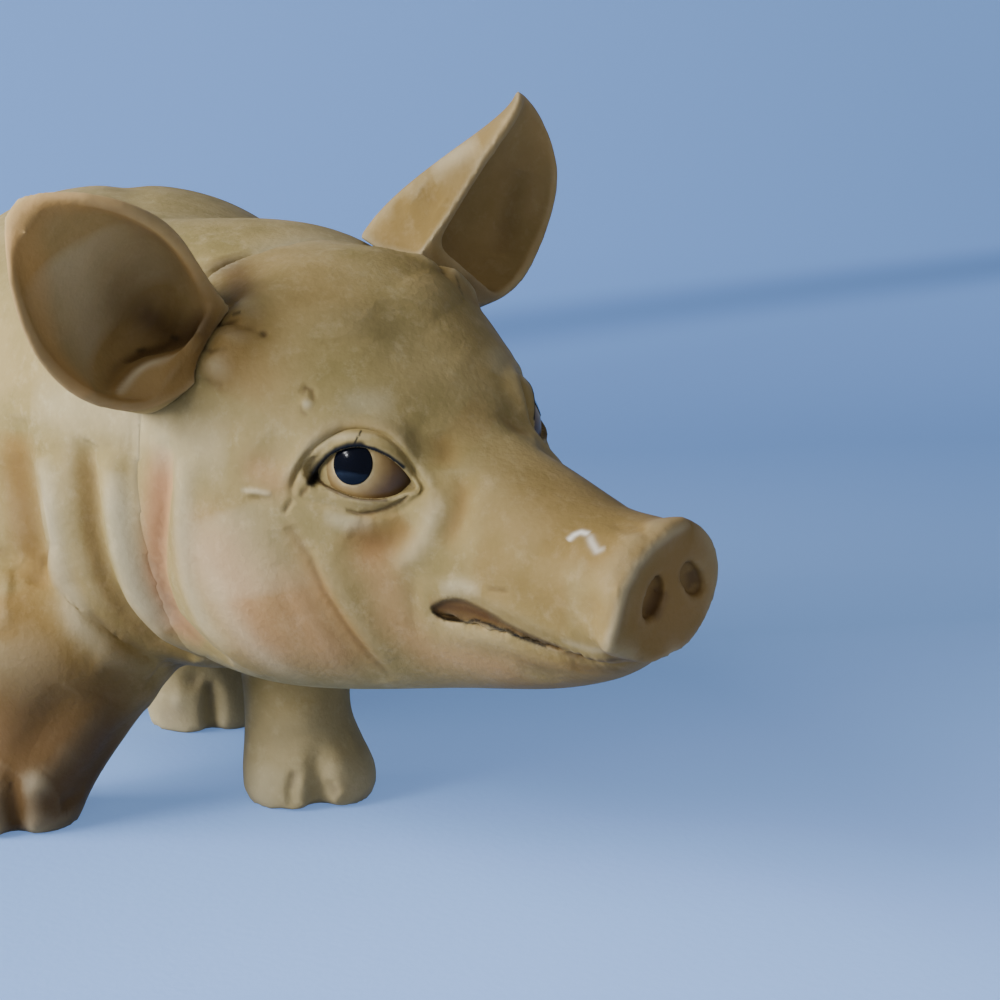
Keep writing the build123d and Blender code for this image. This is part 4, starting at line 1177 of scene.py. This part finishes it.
# %% Hand-painted resin
GROUND = "#A19063"
GROUND_DEEP = "#877A4E"
BLUSH = "#BC8464"
WASH_AND_SHADE = "#3E240D"
CHALK_AND_HIGHLIGHT = "#D6CFB6"
TAN_AND_SHADE = "#8A6B38"
SOOT = "#0B0908"
CHIP_WHITE = "#E0DED8"
RUST = "#C39A60"
SPECKLE = "#C3B592"
# Coats over the ground, in the order in which they are painted, with the most that each covers
COATS = (
    ("tan_and_shade", TAN_AND_SHADE, 0.8),
    ("rust", RUST, 1.0),
    ("blush", BLUSH, 0.75),
    ("wash_and_shade", WASH_AND_SHADE, 0.9),
    ("chalk_and_highlight", CHALK_AND_HIGHLIGHT, 0.6),
    ("soot", SOOT, 1.0),
    ("chip", CHIP_WHITE, 1.0),
)


def painted_resin(name, ground, deep, speckle):
    """Matt acrylic paint on cast resin; the coats follow the tints that the points carry."""
    material, tree = new_material(name)
    place = add_node(tree, "TexCoord").outputs["Object"]
    clouds = add_node(tree, "TexNoise", {"Scale": 90, "Detail": 5, "Roughness": 0.65, "Vector": place}).outputs["Fac"]
    share = add_node(tree, "MapRange", {"From Min": 0.36, "From Max": 0.64, "Value": clouds}).outputs[0]
    colour = add_node(tree, "Mix", {0: share, 6: linear(ground), 7: linear(deep)}, data_type="RGBA").outputs[2]
    specks = add_node(tree, "TexNoise", {"Scale": 520, "Detail": 6, "Roughness": 0.7, "Vector": place}).outputs["Fac"]
    share = add_node(tree, "MapRange", {"From Min": 0.52, "From Max": 0.78, "To Max": 0.45, "Value": specks}).outputs[0]
    colour = add_node(tree, "Mix", {0: share, 6: colour, 7: linear(speckle)}, data_type="RGBA").outputs[2]
    for tint, code, most in COATS:
        layer = add_node(tree, "Attribute", attribute_name=tint).outputs["Fac"]
        share = add_node(tree, "Math", {0: layer, 1: most}, operation="MULTIPLY").outputs[0]
        colour = add_node(tree, "Mix", {0: share, 6: colour, 7: linear(code)}, data_type="RGBA").outputs[2]
    dull_range = {"From Min": 0.3, "From Max": 0.7, "To Min": 0.58, "To Max": 0.78, "Value": clouds}
    dullness = add_node(tree, "MapRange", dull_range).outputs[0]
    grain = add_node(tree, "TexNoise", {"Scale": 1400, "Detail": 5, "Vector": place}).outputs["Fac"]
    bump = add_node(tree, "Bump", {"Strength": 0.25, "Distance": 0.0004, "Height": grain}).outputs["Normal"]
    paint = add_node(tree, "BsdfPrincipled", {"IOR": 1.4, "Base Color": colour, "Roughness": dullness, "Normal": bump})
    add_node(tree, "OutputMaterial", {"Surface": paint.outputs[0]})
    return material


resin_paint = painted_resin("hand-painted resin", GROUND, GROUND_DEEP, SPECKLE)
print(resin_paint.name, "with", len(COATS), "coats")

# %% [markdown]
# The worked skins now take the places of the solids. The castings are cemented and pinned
# together, so every piece rides on the one rigid body.

# %% Dress the pieces
DRESSED = (
    (body, "body_casting", "body_paint"),
    (head, "head_casting", "head_paint"),
    (ears["right"], "ear_right", "ear_paint"),
    (ears["left"], "ear_left", "ear_paint"),
    (tail, "tail", "body_paint"),
)
for clay, node, slot in DRESSED:
    dry(clay)
    clay.piece.data.materials.clear()
    clay.piece.data.materials.append(resin_paint)
    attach(clay.piece, "root")
    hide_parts(node)
    print(clay.piece.name, len(clay.piece.data.polygons), "faces")

# %% [markdown]
# The eyes are beads in satin paint, each with a drop of black lacquer for a pupil. The lacquer is
# the one glossy thing on the ornament: it mirrors the window as a small white spot, which makes
# the face look alive. Its index of refraction is low, so that it doesn't mirror the floor too.
# The pins are steel wire, and metal keeps the default index. They are hidden, but get a finish.

# %% Beads, lacquer and the hidden pieces
def varied(name, light, dark, scale, dull, **shine):
    """A finish whose tone and gloss vary a little over the surface."""
    material, tree = new_material(name)
    place = add_node(tree, "TexCoord").outputs["Object"]
    cloud = add_node(tree, "TexNoise", {"Scale": scale, "Detail": 4, "Vector": place}).outputs["Fac"]
    colour = add_node(tree, "Mix", {0: cloud, 6: linear(light), 7: linear(dark)}, data_type="RGBA").outputs[2]
    gloss = add_node(tree, "MapRange", {"To Min": dull[0], "To Max": dull[1], "Value": cloud}).outputs[0]
    waves = add_node(tree, "Bump", {"Strength": 0.2, "Distance": 0.0002, "Height": cloud}).outputs["Normal"]
    shader = add_node(tree, "BsdfPrincipled", {"Base Color": colour, "Roughness": gloss, "Normal": waves})
    for socket, value in shine.items():
        shader.inputs[socket].default_value = value
    add_node(tree, "OutputMaterial", {"Surface": shader.outputs[0]})
    return material


def painted_bead(name, centre, gaze):
    """Satin eye paint: a pale ring round the pupil, beige beyond it and brown towards the lids as painted shade of the
    lids.
    """
    material, tree = new_material(name)
    place = add_node(tree, "TexCoord").outputs["Object"]
    away = add_node(tree, "VectorMath", {0: place, 1: Vector(centre * MM)}, operation="SUBTRACT").outputs[0]
    aside = add_node(tree, "VectorMath", {0: away, 1: Vector(gaze)}, operation="CROSS_PRODUCT").outputs[0]
    reach = add_node(tree, "VectorMath", {0: aside}, operation="LENGTH").outputs["Value"]
    # The rings wander by 0.3 mm in blots of about 1 mm, as hand-painted ones do
    blot = add_node(tree, "TexNoise", {"Scale": 900, "Detail": 3, "Vector": place}).outputs["Fac"]
    uneven = add_node(tree, "Math", {0: blot, 1: 0.0006, 2: -0.0003}, operation="MULTIPLY_ADD").outputs[0]
    total = add_node(tree, "Math", {0: reach, 1: uneven}, operation="ADD").outputs[0]
    share = add_node(tree, "MapRange", {"From Min": 0.0018, "From Max": 0.0052, "Value": total}).outputs[0]
    ramp = add_node(tree, "ValToRGB", {"Fac": share})
    stops = ramp.color_ramp.elements
    # Painted shade: the browns grow darker towards the bead's edge, where the lids overhang it.
    stops[0].color, stops[1].color = linear("#7D6B4A"), linear("#3A2612")
    for where, code in ((0.10, "#B9A87E"), (0.19, "#9A855C"), (0.42, "#7D6742"), (0.66, "#5F4728")):
        stops.new(where).color = linear(code)
    paint = add_node(tree, "BsdfPrincipled", {"Roughness": 0.42, "IOR": 1.45, "Base Color": ramp.outputs["Color"]})
    add_node(tree, "OutputMaterial", {"Surface": paint.outputs[0]})
    return material


# The lacquer's gloss changes over about 3 mm, as a hand-laid drop does, and the wire's over 0.4 mm,
# coarser than its real drawing marks so that it shows.
lacquer = varied("black lacquer", "#05060C", "#0A0E1C", 300, (0.06, 0.14), IOR=1.27)
wire = varied("drawn steel wire", "#9A9A98", "#7E7D7A", 2500, (0.28, 0.45), Metallic=1.0)
beads = {name: painted_bead(f"painted {name} bead", *eye_centres[name]) for name in eye_centres}
for name, node in nodes.items():
    if name.startswith("pupil"):
        chosen = lacquer
    elif name.startswith("eye"):
        chosen = beads[name.split("_")[1]]
    elif "pin" in name:
        chosen = wire
    else:
        chosen = resin_paint
    node.data.materials.clear()
    node.data.materials.append(chosen)
    print(name, chosen.name)

# %% [markdown]
# The stage: a pale blue cloth that runs level under the pig and rises far behind it, so that no
# horizon shows. A band of painted shade, as of one soft crease, crosses it behind the pig's back.

# %% Floor and backdrop
RISE_STARTS, RISE = -0.35, 0.9
CLOTH_LONG, CLOTH_WIDE, CLOTH_MIDDLE = 2.4, 3.0, -0.75


def cloth_height(x):
    """The height of the cloth, in metres: level under the pig, and curving up behind it."""
    return max(0.0, RISE_STARTS - x) ** 2 * RISE


cloth = bmesh.new()
bmesh.ops.create_grid(cloth, x_segments=60, y_segments=60, size=0.5)
for vert in cloth.verts:
    vert.co = Vector((vert.co.x * CLOTH_LONG + CLOTH_MIDDLE, vert.co.y * CLOTH_WIDE, 0.0))
    vert.co.z = cloth_height(vert.co.x)
cloth_mesh = bpy.data.meshes.new("cloth")
cloth.to_mesh(cloth_mesh)
cloth.free()
cloth_piece = bpy.data.objects.new("cloth", cloth_mesh)
bpy.context.scene.collection.objects.link(cloth_piece)
for face in cloth_mesh.polygons:
    face.use_smooth = True
print("cloth", len(cloth_mesh.polygons), "faces")

# %% [markdown]
# Blue cotton: matt, with a weave of about 1.1 mm, coarser than the real threads so that it shows.
# The camera, mirrors and glass see its blue and a glow that lifts it to the pale tone of the
# Every other ray finds a neutral grey, so the cloth doesn't dye the pig blue. Its darker blue behind the pig is painted
# shade, and its uneven glow is painted light.

# %% Cotton with painted shade and a painted crease
def on_cloth(x, y):
    """Where the camera sees the cloth at a pixel, in metres."""
    start, way = camera_place * MM, sight(x, y)
    for reach in np.arange(0.1, 3.0, 0.0005):
        spot = start + way * reach
        if spot[2] <= cloth_height(spot[0]):
            return spot
    return start + way * 3.0


def blue_cloth(fall, crease_shade_level):
    """Blue cotton, darker where it turns up behind as painted shade, with a band of painted shade along a level in z
    that falls with y, as of a crease.
    """
    material, tree = new_material("blue cotton cloth")
    place = add_node(tree, "TexCoord").outputs["Object"]
    split = add_node(tree, "SeparateXYZ", {"Vector": place}).outputs
    share = add_node(tree, "MapRange", {"From Min": -1.0, "From Max": 0.15, "Value": split["X"]}).outputs[0]
    # Painted shade: the blue is darker behind the pig and paler in front and far back.
    ramp = add_node(tree, "ValToRGB", {"Fac": share})
    stops = ramp.color_ramp.elements
    stops[0].color, stops[1].color = linear("#86B2FA"), linear("#8FB4F4")
    for where, code in ((0.40, "#7AA4EA"), (0.62, "#688CC8"), (0.82, "#6788BC"), (0.92, "#86ABEA")):
        stops.new(where).color = linear(code)
    # Painted shade of a crease: a darker band along a level that falls with y.
    level = add_node(tree, "Math", {0: split["Y"], 1: fall, 2: -crease_shade_level}, operation="MULTIPLY_ADD").outputs[0]
    above = add_node(tree, "Math", {0: split["Z"], 1: level}, operation="ADD").outputs[0]
    off = add_node(tree, "Math", {0: above}, operation="ABSOLUTE").outputs[0]
    crease_shade = add_node(
        tree, "MapRange", {"From Min": 0.0, "From Max": 0.011, "To Min": 0.42, "To Max": 0.0, "Value": off},
        interpolation_type="SMOOTHSTEP").outputs["Result"]
    shaded = {0: crease_shade, 6: ramp.outputs["Color"], 7: linear("#4D699C")}
    colour = add_node(tree, "Mix", shaded, data_type="RGBA").outputs[2]
    weave = add_node(tree, "TexNoise", {"Scale": 900, "Detail": 3, "Vector": place}).outputs["Fac"]
    bump = add_node(tree, "Bump", {"Strength": 0.1, "Distance": 0.0004, "Height": weave}).outputs["Normal"]
    rays = add_node(tree, "LightPath").outputs
    seen = add_node(tree, "Math", {0: rays["Is Camera Ray"], 1: rays["Is Glossy Ray"]}, operation="MAXIMUM").outputs[0]
    seen = add_node(tree, "Math", {0: seen, 1: rays["Is Transmission Ray"]}, operation="MAXIMUM").outputs[0]
    lit = add_node(tree, "Mix", {0: seen, 6: linear("#A0A6AC"), 7: colour}, data_type="RGBA").outputs[2]
    cotton = add_node(
        tree, "BsdfPrincipled", {"Roughness": 0.95, "Specular IOR Level": 0.1, "Base Color": lit, "Normal": bump})
    # Painted light: the cloth glows, more in some places than in others.
    # The glow is stronger at near right and far left, where the cloth in the photograph is paler
    rightward = add_node(tree, "MapRange", {"From Min": -0.7, "From Max": 0.5, "Value": split["Y"]}).outputs[0]
    nearby = add_node(tree, "MapRange", {"From Min": -0.6, "From Max": 0.0, "Value": split["X"]}).outputs[0]
    both = add_node(tree, "Math", {0: rightward, 1: nearby}, operation="ADD").outputs[0]
    apart = add_node(tree, "Math", {0: both, 1: 1.0}, operation="SUBTRACT").outputs[0]
    even = add_node(tree, "Math", {0: apart}, operation="ABSOLUTE").outputs[0]
    power = add_node(tree, "Math", {0: even, 1: 0.35, 2: 0.5}, operation="MULTIPLY_ADD").outputs[0]
    strength = add_node(tree, "Math", {0: seen, 1: power}, operation="MULTIPLY").outputs[0]
    painted_glow = add_node(tree, "Emission", {"Color": colour, "Strength": strength})
    surface = add_node(tree, "AddShader", {0: cotton.outputs["BSDF"], 1: painted_glow.outputs["Emission"]})
    add_node(tree, "OutputMaterial", {"Surface": surface.outputs["Shader"]})
    return material


left_end, right_end = on_cloth(520, 325), on_cloth(999, 265)
crease_shade_fall = -(right_end[2] - left_end[2]) / (right_end[1] - left_end[1])
cloth_mesh.materials.append(blue_cloth(crease_shade_fall, left_end[2] + crease_shade_fall * left_end[1]))
print("crease from", left_end.round(3), "to", right_end.round(3))

# %% [markdown]
# The light. One large soft window stands close by on the pig's right, so the neck and the cheek
# are bright and the snout falls off. Two small panes give the spots in the pupil, and only they are
# mirrored. A weak wide lamp is the rest of the room. The world lights with a neutral grey, and
# shows its blue only to the camera and through glass. This file doesn't set the view transform.
# Its colours were matched under AgX, Blender's default. Under Standard the paint comes out
# brighter and yellower, and the cloth a stronger blue, so they would have to be matched again.

# %% Light
world = bpy.data.worlds.new("room")
world.use_nodes = True
room = world.node_tree
room.nodes.clear()
lighting = add_node(room, "Background", {"Color": linear("#C3C8CE"), "Strength": 0.42}).outputs[0]
backdrop = add_node(room, "Background", {"Color": linear("#8DADDC"), "Strength": 1.0}).outputs[0]
rays = add_node(room, "LightPath").outputs
backdrop_rays = {0: rays["Is Camera Ray"], 1: rays["Is Transmission Ray"]}
seen = add_node(room, "Math", backdrop_rays, operation="MAXIMUM").outputs[0]
chosen = add_node(room, "MixShader", {0: seen, 1: lighting, 2: backdrop}).outputs[0]
add_node(room, "OutputWorld", {"Surface": chosen})
bpy.context.scene.world = world


def add_lamp(name, way, distance, size, power, code):
    """A soft square lamp that faces the pig; distance and size are in metres, power in watts."""
    data = bpy.data.lights.new(name, "AREA")
    data.size, data.energy, data.color = size, power, linear(code)[:3]
    lamp = bpy.data.objects.new(name, data)
    bpy.context.scene.collection.objects.link(lamp)
    aim = Vector((feet + (0, 5, 40)) * MM)
    way = Vector(way).normalized()
    lamp.location = aim + way * distance
    lamp.rotation_euler = (-way).to_track_quat("-Z", "Y").to_euler()
    return lamp


window = add_lamp("window", (0.06, -0.90, 0.42), 0.44, 0.4, 4.7, "#FFFAF2")
window.visible_glossy = False
add_lamp("window_pane", (0.20, -0.88, 0.46), 0.7, 0.055, 0.7, "#FFFFFF")
add_lamp("window_pane_low", (0.30, -0.88, 0.40), 0.7, 0.035, 0.3, "#FFFFFF")
fill = add_lamp("room_fill", (0.9, -0.05, 0.5), 0.9, 0.7, 0.9, "#FFFAF0")
fill.visible_glossy = False
print("lamps", [lamp.name for lamp in bpy.data.lights])
